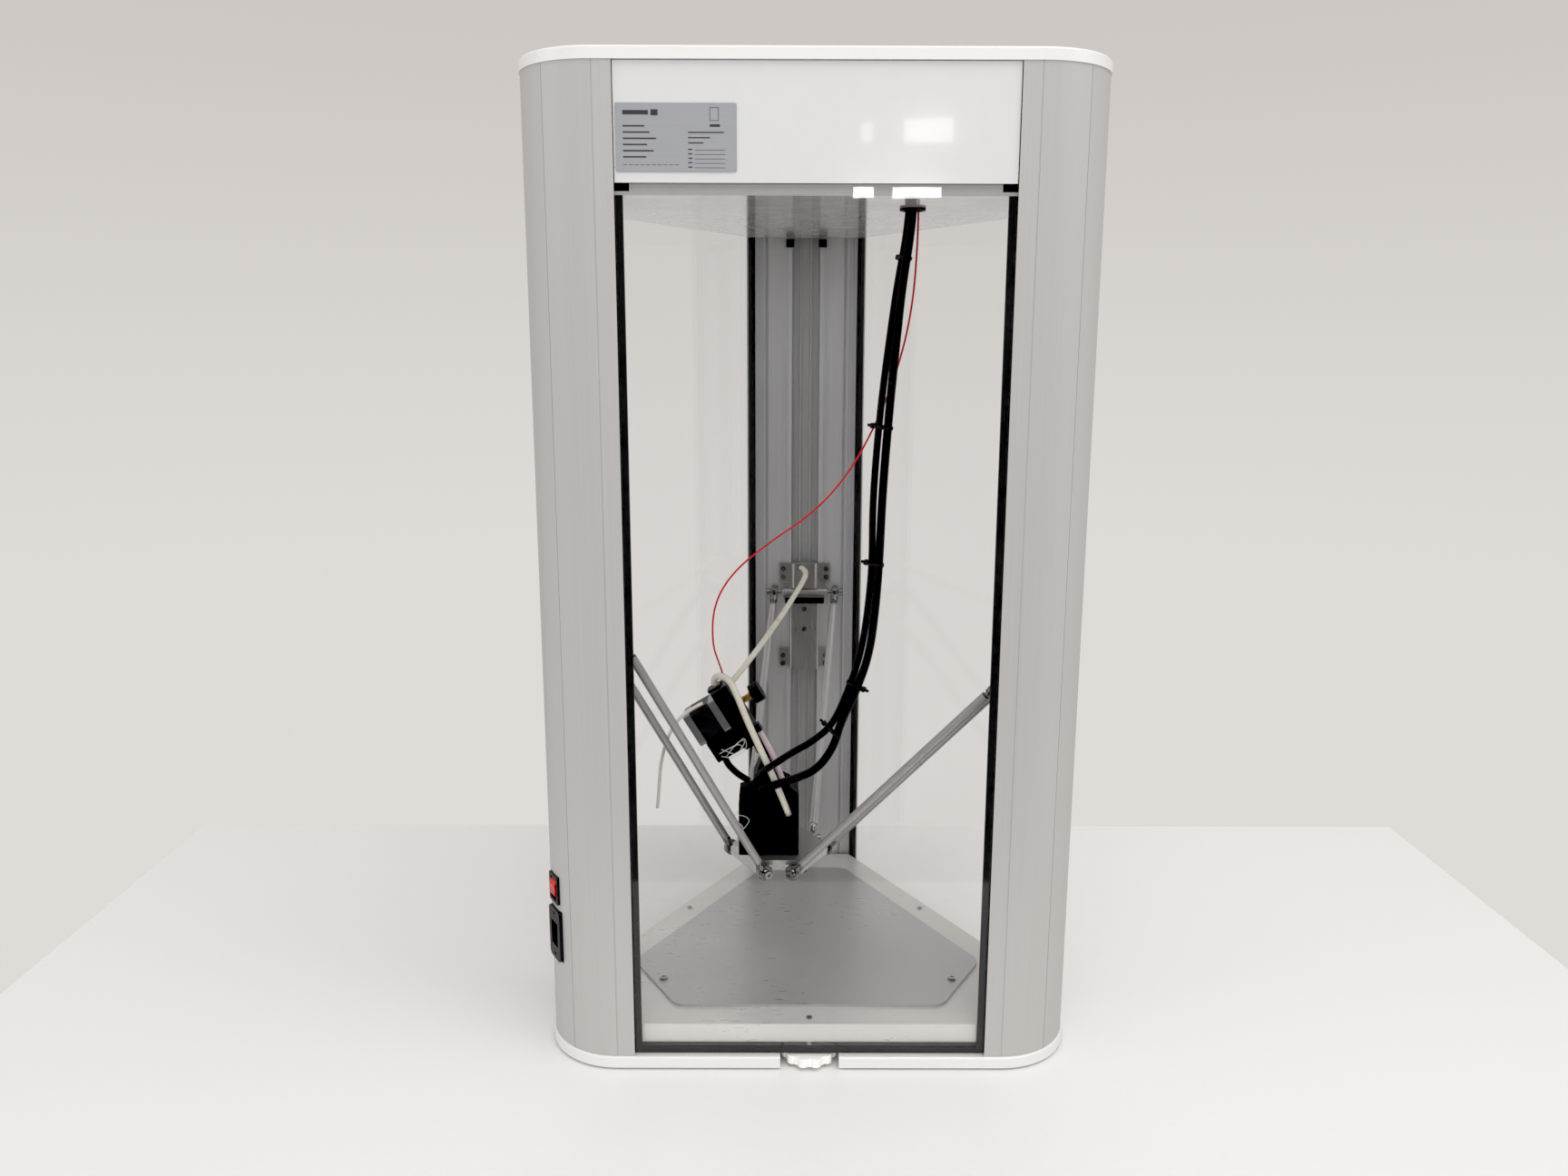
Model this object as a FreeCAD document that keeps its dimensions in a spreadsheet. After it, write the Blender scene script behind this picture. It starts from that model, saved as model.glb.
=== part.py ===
import FreeCAD, Part
import math
import os
import Sketcher
from FreeCAD import Placement, Rotation, Vector

# Enclosed delta printer. Millimetres. +Z up, the flat front faces -Y.
# Everything is drawn about the vertical print axis at x = 0, y = 0 and then shifted by axis_y,
# so that the origin ends up under the middle of the whole machine, on the table.

doc = FreeCAD.newDocument("delta_printer")
sheet = doc.addObject("Spreadsheet::Sheet", "Dims")
nodes = {}


class Size:
    """A number together with the spreadsheet expression it comes from."""

    def __init__(self, value, text=None):
        self.value = float(value)
        self.text = text if text else repr(float(value))

    def __add__(self, other):
        other = size(other)
        return Size(self.value + other.value, "(%s + %s)" % (self.text, other.text))

    def __sub__(self, other):
        other = size(other)
        return Size(self.value - other.value, "(%s - %s)" % (self.text, other.text))

    def __mul__(self, other):
        other = size(other)
        return Size(self.value * other.value, "(%s * %s)" % (self.text, other.text))

    def __truediv__(self, other):
        other = size(other)
        return Size(self.value / other.value, "(%s / %s)" % (self.text, other.text))

    def __neg__(self):
        return Size(-self.value, "(0 - %s)" % self.text)

    __radd__ = __add__
    __rmul__ = __mul__

    def __rsub__(self, other):
        return size(other) - self


def size(value):
    return value if isinstance(value, Size) else Size(value)


def num(value):
    return size(value).value


def dim(alias, value, note):
    row = dim.row
    dim.row += 1
    sheet.set("A%d" % row, note)
    sheet.set("B%d" % row, repr(value))
    sheet.setAlias("B%d" % row, alias)
    return Size(value, "Dims." + alias)


dim.row = 1

# ---------------------------------------------------------------- driving dimensions
axis_y = dim("axis_y", -48.95, "print axis, behind the front of the machine")
col_pitch = dim("col_pitch", 350.0, "between the centres of the column corner curves")
corner_r = dim("corner_r", 67.5, "column corner radius")
strip = dim("strip", 15.6, "flat strip beside each pane")
foot_h = dim("foot_height", 2.0, "rubber foot")
base_th = dim("base_thick", 10.5, "base plate")
base_over = dim("base_over", 2.0, "base plate overhang")
cap_over = dim("cap_over", 1.0, "top cap overhang")
cap_th = dim("cap_thick", 10.0, "top cap")
col_top = dim("col_top", 865.0, "top of the columns")
ceiling_z = dim("ceiling_z", 765.0, "underside of the chamber ceiling")
header_z = dim("header_z", 774.0, "lower edge of the header panels")
pane_d = dim("pane_dist", 163.2, "back face of a pane from the print axis")
pane_th = dim("pane_thick", 3.5, "clear pane")
pane_w = dim("pane_width", 318.0, "clear pane")
wall_d = dim("wall_dist", 222.3, "inner wall of a column from the print axis")
channel_w = dim("channel_width", 31.0, "belt channel in a column")
channel_deep = dim("channel_deep", 14.0, "belt channel in a column")
rail_w = dim("rail_width", 5.0, "raised rail beside the channel")
rail_up = dim("rail_up", 3.0, "rail height above the wall")
rail_top = dim("rail_top", 755.0, "upper end of the rails")
belt_d = dim("belt_dist", 228.0, "middle of the belt from the print axis")
belt_w = dim("belt_width", 5.6, "belt")
belt_r = dim("belt_inner_r", 5.95, "inner radius of the belt loop at a pulley")
belt_th = dim("belt_thick", 1.2, "belt")
pulley_z = dim("pulley_z", 815.0, "drive pulley axis")
idler_z = dim("idler_z", 30.0, "idler axis")
tray_z = dim("tray_top", 38.0, "top of the bed tray")
tray_d = dim("tray_dist", 157.0, "tray side from the print axis")
tray_deep = dim("tray_deep", 18.0, "tray skirt")
plate_th = dim("bed_thick", 2.5, "print bed plate")
plate_d = dim("bed_dist", 128.0, "bed plate side from the print axis")
plate_end = dim("bed_end", 173.0, "bed plate end from the print axis")
level_d = dim("level_dist", 149.0, "levelling screw from the print axis")
wheel_r = dim("wheel_r", 25.5, "levelling wheel over the lobes")
ball_d = dim("ball_dist", 212.0, "upper ball centres from the print axis")
pair = dim("rod_pair", 69.9, "between the two rods of a pair")
eff_off = dim("effector_off", 36.4, "lower ball centres from the effector axis")
rod_len = dim("rod_length", 293.1, "between the ball centres of a rod")
eff_x = dim("effector_x", -28.6, "effector as drawn")
eff_y = dim("effector_y", -8.5, "effector as drawn")
eff_z = dim("effector_z", 140.9, "lower ball centres as drawn")
ball_r = dim("ball_r", 4.75, "bearing ball")
ring_r = dim("ring_r", 7.8, "rod end ring")
ring_w = dim("ring_width", 6.4, "rod end ring")
tube_r = dim("rod_tube_r", 4.0, "rod tube")
motor_w = dim("motor_width", 42.3, "column motor")
feeder_w = dim("feeder_motor", 35.2, "extruder motor")
doc.recompute()

COS30 = math.cos(math.radians(30))
SIN30 = 0.5
TOWERS = {"rear": 0.0, "left": 120.0, "right": 240.0}
SIDES = {"front": 0.0, "right": 120.0, "left": 240.0}
corner_d = col_pitch * (1 / math.sqrt(3))
side_d = corner_d * 0.5 + corner_r
col_z0 = foot_h + base_th
col_h = col_top - col_z0
travel_r = ball_d - eff_off


# ---------------------------------------------------------------- building helpers
def bind(obj, prop, value):
    value = size(value)
    if value.text == repr(value.value):
        setattr(obj, prop, value.value)
    else:
        obj.setExpression(prop, value.text)


def move(obj, x=0, y=0, z=0, rotation=None):
    obj.Placement = Placement(Vector(num(x), num(y), num(z)), rotation or Rotation())
    for name, value in (("x", x), ("y", y), ("z", z)):
        if isinstance(value, Size):
            obj.setExpression("Placement.Base." + name, value.text)
    return obj


def box(dx, dy, dz, x=0, y=0, z=0, rotation=None):
    """A box centred on x, standing from y and z upwards."""
    obj = doc.addObject("Part::Box", "box")
    bind(obj, "Length", dx)
    bind(obj, "Width", dy)
    bind(obj, "Height", dz)
    if rotation:
        return move(obj, x, y, z, rotation)
    return move(obj, size(x) - size(dx) * 0.5, y, z)


def span(x0, x1, y0, y1, z0, z1):
    """A box between two corners."""
    x0, x1, y0, y1, z0, z1 = [size(v) for v in (x0, x1, y0, y1, z0, z1)]
    return box(x1 - x0, y1 - y0, z1 - z0, (x0 + x1) * 0.5, y0, z0)


AXIS = {"z": Rotation(), "x": Rotation(Vector(0, 1, 0), 90), "y": Rotation(Vector(1, 0, 0), -90)}


def rod(radius, length, x=0, y=0, z=0, axis="z", angle=None):
    """A cylinder that starts at x, y, z and runs along +axis."""
    obj = doc.addObject("Part::Cylinder", "rod")
    bind(obj, "Radius", radius)
    bind(obj, "Height", length)
    if angle is not None:
        obj.Angle = angle
    rotation = AXIS[axis] if isinstance(axis, str) else axis
    return move(obj, x, y, z, rotation)


def ball(radius, x=0, y=0, z=0, axis="z"):
    """A sphere whose poles lie on the axis."""
    obj = doc.addObject("Part::Sphere", "ball")
    bind(obj, "Radius", radius)
    return move(obj, x, y, z, AXIS[axis] if isinstance(axis, str) else axis)


def cone(r1, r2, length, x=0, y=0, z=0, axis="z"):
    obj = doc.addObject("Part::Cone", "cone")
    bind(obj, "Radius1", r1)
    bind(obj, "Radius2", r2)
    bind(obj, "Height", length)
    return move(obj, x, y, z, AXIS[axis] if isinstance(axis, str) else axis)


def hexagon(across, length, x=0, y=0, z=0, axis="z"):
    obj = doc.addObject("Part::Prism", "hexagon")
    obj.Polygon = 6
    bind(obj, "Circumradius", size(across) * (0.5 / COS30))
    bind(obj, "Height", length)
    return move(obj, x, y, z, AXIS[axis] if isinstance(axis, str) else axis)


def trapezoid(half0, half1, y0, y1, z0, z1):
    """A prism whose half width goes from half0 at y0 to half1 at y1."""
    obj = doc.addObject("Part::Wedge", "trapezoid")
    bind(obj, "Xmin", -size(half0))
    bind(obj, "Xmax", half0)
    bind(obj, "X2min", -size(half1))
    bind(obj, "X2max", half1)
    bind(obj, "Ymin", y0)
    bind(obj, "Ymax", y1)
    bind(obj, "Zmin", z0)
    bind(obj, "Zmax", z1)
    bind(obj, "Z2min", z0)
    bind(obj, "Z2max", z1)
    return obj


def fuse(*shapes):
    obj = doc.addObject("Part::MultiFuse", "fuse")
    obj.Shapes = list(shapes)
    obj.Refine = True
    return obj


def common(a, b):
    obj = doc.addObject("Part::MultiCommon", "common")
    obj.Shapes = [a, b]
    return obj


def cut(base, *tools):
    obj = doc.addObject("Part::Cut", "cut")
    obj.Base = base
    obj.Tool = tools[0] if len(tools) == 1 else fuse(*tools)
    obj.Refine = True
    return obj


def group(*shapes):
    obj = doc.addObject("Part::Compound", "group")
    obj.Links = list(shapes)
    return obj


def ease(obj, amount, chosen, kind="Part::Fillet"):
    """Fillet or chamfer the edges for which chosen(edge) is true."""
    doc.recompute()
    edges = []
    for number, edge in enumerate(obj.Shape.Edges, 1):
        if chosen(edge):
            edges.append((number, num(amount), num(amount)))
    result = doc.addObject(kind, "eased")
    result.Base = obj
    result.Edges = edges
    return result


def straight_along(edge, direction):
    if not isinstance(edge.Curve, Part.Line):
        return False
    return abs(edge.tangentAt(edge.FirstParameter).dot(direction)) > 0.99


def along_x(edge):
    return straight_along(edge, Vector(1, 0, 0))


def along_y(edge):
    return straight_along(edge, Vector(0, 1, 0))


def upright(edge):
    return straight_along(edge, Vector(0, 0, 1))


def is_round(edge):
    return isinstance(edge.Curve, Part.Circle)


def level_at(height):
    return lambda edge: abs(edge.BoundBox.ZMin - height) < 0.01 and abs(edge.BoundBox.ZMax - height) < 0.01


def node(obj, name, turn=0.0):
    """Name a finished piece and put it in its place on the machine."""
    obj.Label = name
    obj.Placement = Placement(Vector(0, axis_y.value, 0), Rotation(Vector(0, 0, 1), turn))
    obj.setExpression("Placement.Base.y", axis_y.text)
    nodes[name] = obj
    return obj


def outline_body(points, height, z, fillet=None):
    """A PartDesign body: a polygon in plan, padded upwards, corners rounded."""
    body = doc.addObject("PartDesign::Body", "Body")
    sketch = body.newObject("Sketcher::SketchObject", "Sketch")
    plane = [f for f in body.Origin.OriginFeatures if f.Role == "XY_Plane"][0]
    sketch.AttachmentSupport = [(plane, "")]
    sketch.MapMode = "FlatFace"
    sketch.setExpression("AttachmentOffset.Base.z", size(z).text)
    count = len(points)
    flat = [Vector(num(x), num(y), 0) for x, y in points]
    for i in range(count):
        sketch.addGeometry(Part.LineSegment(flat[i], flat[(i + 1) % count]), False)
    for i in range(count):
        sketch.addConstraint(Sketcher.Constraint("Coincident", i, 2, (i + 1) % count, 1))
    for i, (x, y) in enumerate(points):
        for kind, value in (("DistanceX", x), ("DistanceY", y)):
            number = sketch.addConstraint(Sketcher.Constraint(kind, -1, 1, i, 1, num(value)))
            name = "%s%d" % (kind[-1].lower(), i)
            sketch.renameConstraint(number, name)
            if isinstance(value, Size):
                sketch.setExpression("Constraints." + name, value.text)
    pad = body.newObject("PartDesign::Pad", "Pad")
    pad.Profile = sketch
    bind(pad, "Length", height)
    body.Tip = pad
    if fillet:
        doc.recompute()
        names = ["Edge%d" % n for n, e in enumerate(pad.Shape.Edges, 1) if upright(e)]
        soft = body.newObject("PartDesign::Fillet", "Fillet")
        soft.Base = (pad, names)
        bind(soft, "Radius", fillet)
        body.Tip = soft
    return body


def six_points(side, end):
    """A triangle with its three points cut off: sides at side, ends at end from the axis."""
    half = (size(side) - size(end) * SIN30) * (1 / COS30)
    points = []
    for turn in (0.0, 120.0, 240.0):
        c, s = math.cos(math.radians(turn)), math.sin(math.radians(turn))
        for x in (half, -half):
            points.append((x * c - size(end) * s, x * s + size(end) * c))
    return points


def round_triangle(radius, height, z):
    """The plan outline of the machine: a triangle with big round corners."""
    points = []
    discs = []
    for turn in (0.0, 120.0, 240.0):
        c, s = math.cos(math.radians(turn)), math.sin(math.radians(turn))
        discs.append(rod(radius, height, -corner_d * s, corner_d * c, z))
        for sign in (1, -1):
            x = size(radius) * (sign * COS30)
            y = corner_d + size(radius) * SIN30
            points.append((x * c - y * s, x * s + y * c))
    return fuse(outline_body(points, height, z), *discs)


def turned(obj, turn):
    """A copy of a piece, turned about the print axis."""
    link = group(obj)
    link.Placement = Placement(Vector(), Rotation(Vector(0, 0, 1), turn))
    return link


def screw(x, y, z, axis, radius=3.0, height=2.0):
    """Socket head: a low cylinder with a hexagon hole, its top facing along axis."""
    head = rod(radius, height, x, y, z, axis)
    rotation = AXIS[axis] if isinstance(axis, str) else axis
    top = Vector(x, y, z) + rotation.multVec(Vector(0, 0, height - 1.1))
    hole = hexagon(radius * 0.9, 1.3, top.x, top.y, top.z, rotation)
    return cut(head, hole)


# ---------------------------------------------------------------- base, cap and feet
def build_base():
    feet = []
    for turn in TOWERS.values():
        pad = rod(13, foot_h, 0, 215, 0)
        feet.append(turned(pad, turn))
    node(group(*feet), "feet")

    plate = round_triangle(corner_r + base_over, base_th, foot_h)
    plate = ease(plate, 1.2, level_at(num(col_z0)), "Part::Chamfer")
    notches = []
    for turn in SIDES.values():
        slot = span(-26.8, 26.8, -190, -level_d, 1, 14)
        pocket = rod(26.8, 13, 0, -level_d, 1)
        notches.append(turned(fuse(slot, pocket), turn))
    node(cut(plate, *notches), "base_plate")

    cap = round_triangle(corner_r + cap_over, cap_th, col_top)
    cap = ease(cap, 1.6, level_at(num(col_top + cap_th)), "Part::Chamfer")
    hollow = outline_body(six_points(side_d - 6, 236), cap_th - 3, col_top - 0.01)
    node(cut(cap, hollow), "top_cap")


# ---------------------------------------------------------------- columns
COVER_ARC = 43.8


def build_column(name, turn):
    radius = corner_r
    edge_y = corner_d + radius * SIN30
    edge_x = radius * COS30
    half = edge_x + strip * SIN30
    outside = common(
        rod(radius, col_h, 0, corner_d, col_z0),
        span(-80, 80, edge_y - 0.01, 280, col_z0, col_top))
    flanks = trapezoid(half, edge_x, wall_d, edge_y, col_z0, col_top)
    rails = [
        span(channel_w * 0.5, channel_w * 0.5 + rail_w, wall_d - rail_up, wall_d + 1, col_z0, rail_top),
        span(-channel_w * 0.5 - rail_w, -channel_w * 0.5, wall_d - rail_up, wall_d + 1, col_z0, rail_top)]
    body = fuse(outside, flanks, *rails)
    z0, z1 = col_z0 - 1, col_top + 1
    holes = [
        span(-channel_w * 0.5, channel_w * 0.5, 210, wall_d + channel_deep, z0, z1),
        span(-20.5, 20.5, wall_d + 5, wall_d + 11, z0, z1),
        common(rod(62.5, z1 - z0, 0, corner_d, z0),
               span(-60, 60, wall_d + channel_deep + 3.5, 270, z0, z1)),
        span(24.5, 51, wall_d + 4.5, wall_d + channel_deep, z0, z1),
        span(-51, -24.5, wall_d + 4.5, wall_d + channel_deep, z0, z1)]
    for x, wide, deep in ((44, 3.0, 3.2), (49.5, 1.6, 1.2), (53.5, 1.6, 1.2), (57.5, 1.6, 1.2)):
        for side in (-1, 1):
            holes.append(span(side * x - wide / 2, side * x + wide / 2, 210, wall_d + deep, z0, z1))
    # a fine joint line between the flat strip and the curve
    for side in (-1, 1):
        line = rod(0.5, z1 - z0, edge_x * side, edge_y, z0)
        holes.append(line)
    # seat of the removable corner cover
    wide = COVER_ARC + 0.8
    seat = cut(rod(radius + 2, z1 - z0, 0, corner_d, z0,
                   Rotation(Vector(0, 0, 1), 90 - wide / 2), wide),
               rod(radius - 2.5, z1 - z0 + 2, 0, corner_d, z0 - 1))
    holes.append(seat)
    if name == "left":
        holes += inlet_holes()
    column = cut(body, *holes)
    axle = rod(1.5, 12.5, 0, wall_d + channel_deep - 12.4, idler_z, "y")
    node(fuse(column, axle), "column_" + name, turn)


INLET_Z = 117.0
SWITCH_Z = 161.5


def inlet_holes():
    out = corner_d + corner_r
    return [
        span(-13.8, 13.8, out - 2.3, out + 5, INLET_Z - 25.3, INLET_Z + 25.3),
        span(-10.6, 10.6, out - 30, out + 5, INLET_Z - 14.3, INLET_Z + 14.3),
        span(-10.8, 10.8, out - 1.6, out + 5, SWITCH_Z - 13.8, SWITCH_Z + 13.8),
        span(-8.4, 8.4, out - 30, out + 5, SWITCH_Z - 11.4, SWITCH_Z + 11.4)]


def build_covers():
    covers = []
    for name, turn in TOWERS.items():
        sector = rod(corner_r, col_h, 0, corner_d, col_z0,
                     Rotation(Vector(0, 0, 1), 90 - COVER_ARC / 2), COVER_ARC)
        shell = cut(sector, rod(corner_r - 2.2, col_h + 2, 0, corner_d, col_z0 - 1))
        if name == "left":
            shell = cut(shell, *inlet_holes())
        covers.append(turned(shell, turn))
    node(group(*covers), "column_covers")


# ---------------------------------------------------------------- panes, headers, seals, ceiling
CABLE_WAY = (86.0, -75.2)


def build_sides():
    pane_z0 = col_z0 + 1
    pane_h = size(771.5) - pane_z0
    panes = {}
    for name, turn in SIDES.items():
        slab = box(pane_w, pane_th, pane_h, 0, -(pane_d + pane_th), pane_z0)
        slab = ease(slab, 0.8, upright)
        panes[name] = turned(slab, turn)
    node(group(panes["front"]), "pane_front")
    node(group(panes["left"], panes["right"]), "side_panes")

    headers = []
    seals = []
    lips = []
    for turn in SIDES.values():
        panel = box(pane_w, 2.2, col_top - header_z - 0.4, 0, -166.4, header_z)
        headers.append(turned(panel, turn))
        for side in (-1, 1):
            strip_seal = span(min(side * 153.6, side * 161), max(side * 153.6, side * 161),
                              -pane_d + 0.2, -158.8, col_z0, ceiling_z)
            seals.append(turned(strip_seal, turn))
        sill = span(-153.5, 153.5, -pane_d + 0.2, -159, col_z0, 17.5)
        seals.append(turned(sill, turn))
        lips.append(turned(span(-148, 148, -162.6, -160.4, ceiling_z + 1, header_z), turn))
    node(group(*headers), "header_panels")
    node(group(*seals), "pane_seals")

    sheet_body = outline_body(six_points(162.6, wall_d - 0.6), 3, ceiling_z)
    x, y = CABLE_WAY
    grommet_hole = rod(9.6, 20, x, y, ceiling_z - 5)
    strand_hole = rod(2, 20, 93, -57, ceiling_z - 5)
    node(cut(fuse(sheet_body, *lips), grommet_hole, strand_hole), "ceiling_plate")
    collar = fuse(rod(11.2, 2, x, y, ceiling_z - 2.1), rod(9.4, 6.5, x, y, ceiling_z - 2.1))
    node(cut(collar, rod(8.6, 12, x, y, ceiling_z - 4)), "cable_grommet")

    label = ease(span(-157.5, -62.5, -167.2, -166.45, 782, 833.4), 1.5, along_y)
    node(label, "data_plate")

    stops = []
    for turn in TOWERS.values():
        for side in (-1, 1):
            stop = span(side * 18 - 4.5, side * 18 + 4.5, 214.3, wall_d - 0.05, rail_top + 0.2, 763.5)
            stops.append(turned(stop, turn))
    node(group(*stops), "rail_stops")


# ---------------------------------------------------------------- bed
def build_bed():
    shell = outline_body(six_points(tray_d, 217), tray_deep, tray_z - tray_deep, 3)
    under = outline_body(six_points(tray_d - 2, 215), tray_deep - 2.5, tray_z - tray_deep - 0.01, 2)
    node(cut(shell, under), "bed_tray")

    plate = outline_body(six_points(plate_d, plate_end), plate_th, tray_z, 17)
    node(plate, "bed_plate")

    screws = []
    for turn in TOWERS.values():
        washer = rod(4.6, 0.7, 0, 163, tray_z + plate_th)
        head = screw(0, 163, num(tray_z + plate_th) + 0.7, "z", 3.4, 1.6)
        screws.append(turned(fuse(washer, head), turn))
    for turn in SIDES.values():
        head = screw(0, -num(level_d) + 2, num(tray_z), "z", 2.8, 1.2)
        screws.append(turned(head, turn))
    node(group(*screws), "bed_screws")

    for name, turn in SIDES.items():
        z = foot_h + 1.5
        lobes = []
        for i in range(11):
            a = 2 * math.pi * (i + 0.5) / 11
            lobes.append(rod(5.2, 8, (wheel_r - 5.2) * math.sin(a), -level_d - (wheel_r - 5.2) * math.cos(a), z))
        disc = fuse(rod(wheel_r - 2.4, 8, 0, -level_d, z), *lobes)
        disc = ease(disc, 0.8, lambda e: level_at(11.5)(e) or level_at(3.5)(e))
        stud = rod(2.5, 23.5, 0, -level_d, z + 7.9)
        node(fuse(disc, stud), "levelling_wheel_" + name, turn)


# ---------------------------------------------------------------- column drives
def build_drives():
    belts = []
    motors = []
    length = pulley_z - idler_z
    y0 = belt_d - belt_w * 0.5
    for name, turn in TOWERS.items():
        loop = []
        for radius in (belt_r + belt_th, belt_r):
            loop.append(fuse(
                rod(radius, belt_w, 0, y0, idler_z, "y"),
                rod(radius, belt_w, 0, y0, pulley_z, "y"),
                span(-radius, radius, y0, y0 + belt_w, idler_z, idler_z + length)))
        belts.append(turned(cut(loop[0], loop[1]), turn))

        half = motor_w * 0.5
        can = box(motor_w, 40, motor_w, 0, wall_d - 40, pulley_z - half)
        can = ease(can, 4, along_y, "Part::Chamfer")
        stack = []
        for z in (num(pulley_z - half) - 1, num(pulley_z + half) - 0.8):
            stack.append(span(-30, 30, 192, 213, z, z + 1.8))
        can = cut(can, rod(2.55, 14, 0, wall_d - 13, pulley_z, "y"), *stack)
        motors.append(turned(can, turn))

        flange0 = rod(8.4, 0.8, 0, y0 - 1.2, pulley_z, "y")
        flange1 = rod(8.4, 0.8, 0, y0 + belt_w + 0.4, pulley_z, "y")
        barrel = rod(5.8, belt_w + 1, 0, y0 - 0.5, pulley_z, "y")
        shaft = rod(2.5, 22, 0, wall_d - 11, pulley_z, "y")
        flat = span(-3, 3, wall_d - 12, wall_d + 12, pulley_z + 2.1, pulley_z + 4)
        node(fuse(cut(shaft, flat), barrel, flange0, flange1), "drive_pulley_" + name, turn)

        rim0 = rod(8.4, 0.8, 0, y0 - 1.2, idler_z, "y")
        rim1 = rod(8.4, 0.8, 0, y0 + belt_w + 0.4, idler_z, "y")
        roller = rod(5.8, belt_w + 1, 0, y0 - 0.5, idler_z, "y")
        bore = rod(1.56, 20, 0, y0 - 6, idler_z, "y")
        node(cut(fuse(roller, rim0, rim1), bore), "idler_" + name, turn)
    node(group(*belts), "tower_belts")
    node(group(*motors), "tower_motors")


# ---------------------------------------------------------------- electrics
def build_electrics():
    z = ceiling_z + 3
    case = span(-105, 45, -35, 63, z + 0.2, z + 42)
    vents = []
    for i in range(9):
        vents.append(span(-92 + i * 12, -88 + i * 12, -20, 48, z + 40.8, z + 44))
    node(cut(case, *vents), "power_supply")

    board = span(-115, -5, -148, -62, z + 8, z + 9.6)
    legs = [rod(2.5, 8, x, y, z) for x in (-110, -10) for y in (-143, -67)]
    chips = [span(-70, -50, -115, -95, z + 9.6, z + 12), span(-100, -80, -95, -75, z + 9.6, z + 22)]
    plugs = [span(-108 + 18 * i, -96 + 18 * i, -146, -138, z + 9.6, z + 19) for i in range(5)]
    node(fuse(board, *(legs + chips + plugs)), "control_board")

    turn = TOWERS["left"]
    out = corner_d + corner_r
    flange = ease(span(-13.5, 13.5, out - 2, out + 1.9, INLET_Z - 25, INLET_Z + 25), 5, along_y)
    socket = span(-10.2, 10.2, out - 26, out - 1.9, INLET_Z - 14, INLET_Z + 14)
    mouth = span(-7.9, 7.9, out - 15, out + 4, INLET_Z - 11.6, INLET_Z + 11.6)
    bores = [rod(1.8, 10, 0, out - 5, INLET_Z + dz, "y") for dz in (-20, 20)]
    blades = [span(x - 1, x + 1, out - 16, out - 4, INLET_Z + dz - 2, INLET_Z + dz + 2)
              for x, dz in ((0, 0), (-3, -6.5), (-3, 6.5))]
    node(fuse(cut(fuse(flange, socket), mouth, *bores), *blades), "power_inlet", turn)

    frame = ease(span(-10.5, 10.5, out - 1.3, out + 1.6, SWITCH_Z - 13.5, SWITCH_Z + 13.5), 1.5,
                 along_y)
    shell = span(-8.1, 8.1, out - 22, out - 1.2, SWITCH_Z - 11.1, SWITCH_Z + 11.1)
    window = span(-6.9, 6.9, out - 20, out + 5, SWITCH_Z - 10.3, SWITCH_Z + 10.3)
    node(cut(fuse(frame, shell), window), "switch_bezel", turn)
    drum = common(rod(14.0, 13, -6.5, out - 10.4, SWITCH_Z, "x"),
                  span(-8, 8, out - 8, out + 6, SWITCH_Z - 8.3, SWITCH_Z + 8.3))
    hollow = rod(9.5, 16, -8, out + 12.0, SWITCH_Z, "x")
    node(cut(drum, hollow), "rocker_switch", turn)


# ---------------------------------------------------------------- linkage
def tower_heights():
    heights = {}
    for name, turn in TOWERS.items():
        a = math.radians(90 + turn)
        dx = travel_r.value * math.cos(a) - eff_x.value
        dy = travel_r.value * math.sin(a) - eff_y.value
        heights[name] = eff_z.value + math.sqrt(rod_len.value ** 2 - dx * dx - dy * dy)
    return heights


HEIGHTS = tower_heights()


def ball_bolt(side, start, centre, y, z):
    """A bolt along x with its bearing ball; side is +1 or -1, start where it leaves its block."""
    rotation = Rotation(Vector(0, 1, 0), 90 * side)
    far = num(centre) - start
    x0 = side * start
    parts = [
        rod(2.0, far + 7, x0, y, z, rotation),
        rod(2.7, far - 3.6, x0, y, z, rotation),
        ball(ball_r, centre * side, y, z, rotation),
        rod(3.8, 3.4, side * (start + far + 5.2), y, z, rotation)]
    socket = hexagon(3.4, 2, side * (start + far + 6.8), y, z, rotation)
    return cut(fuse(*parts), socket)


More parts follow.
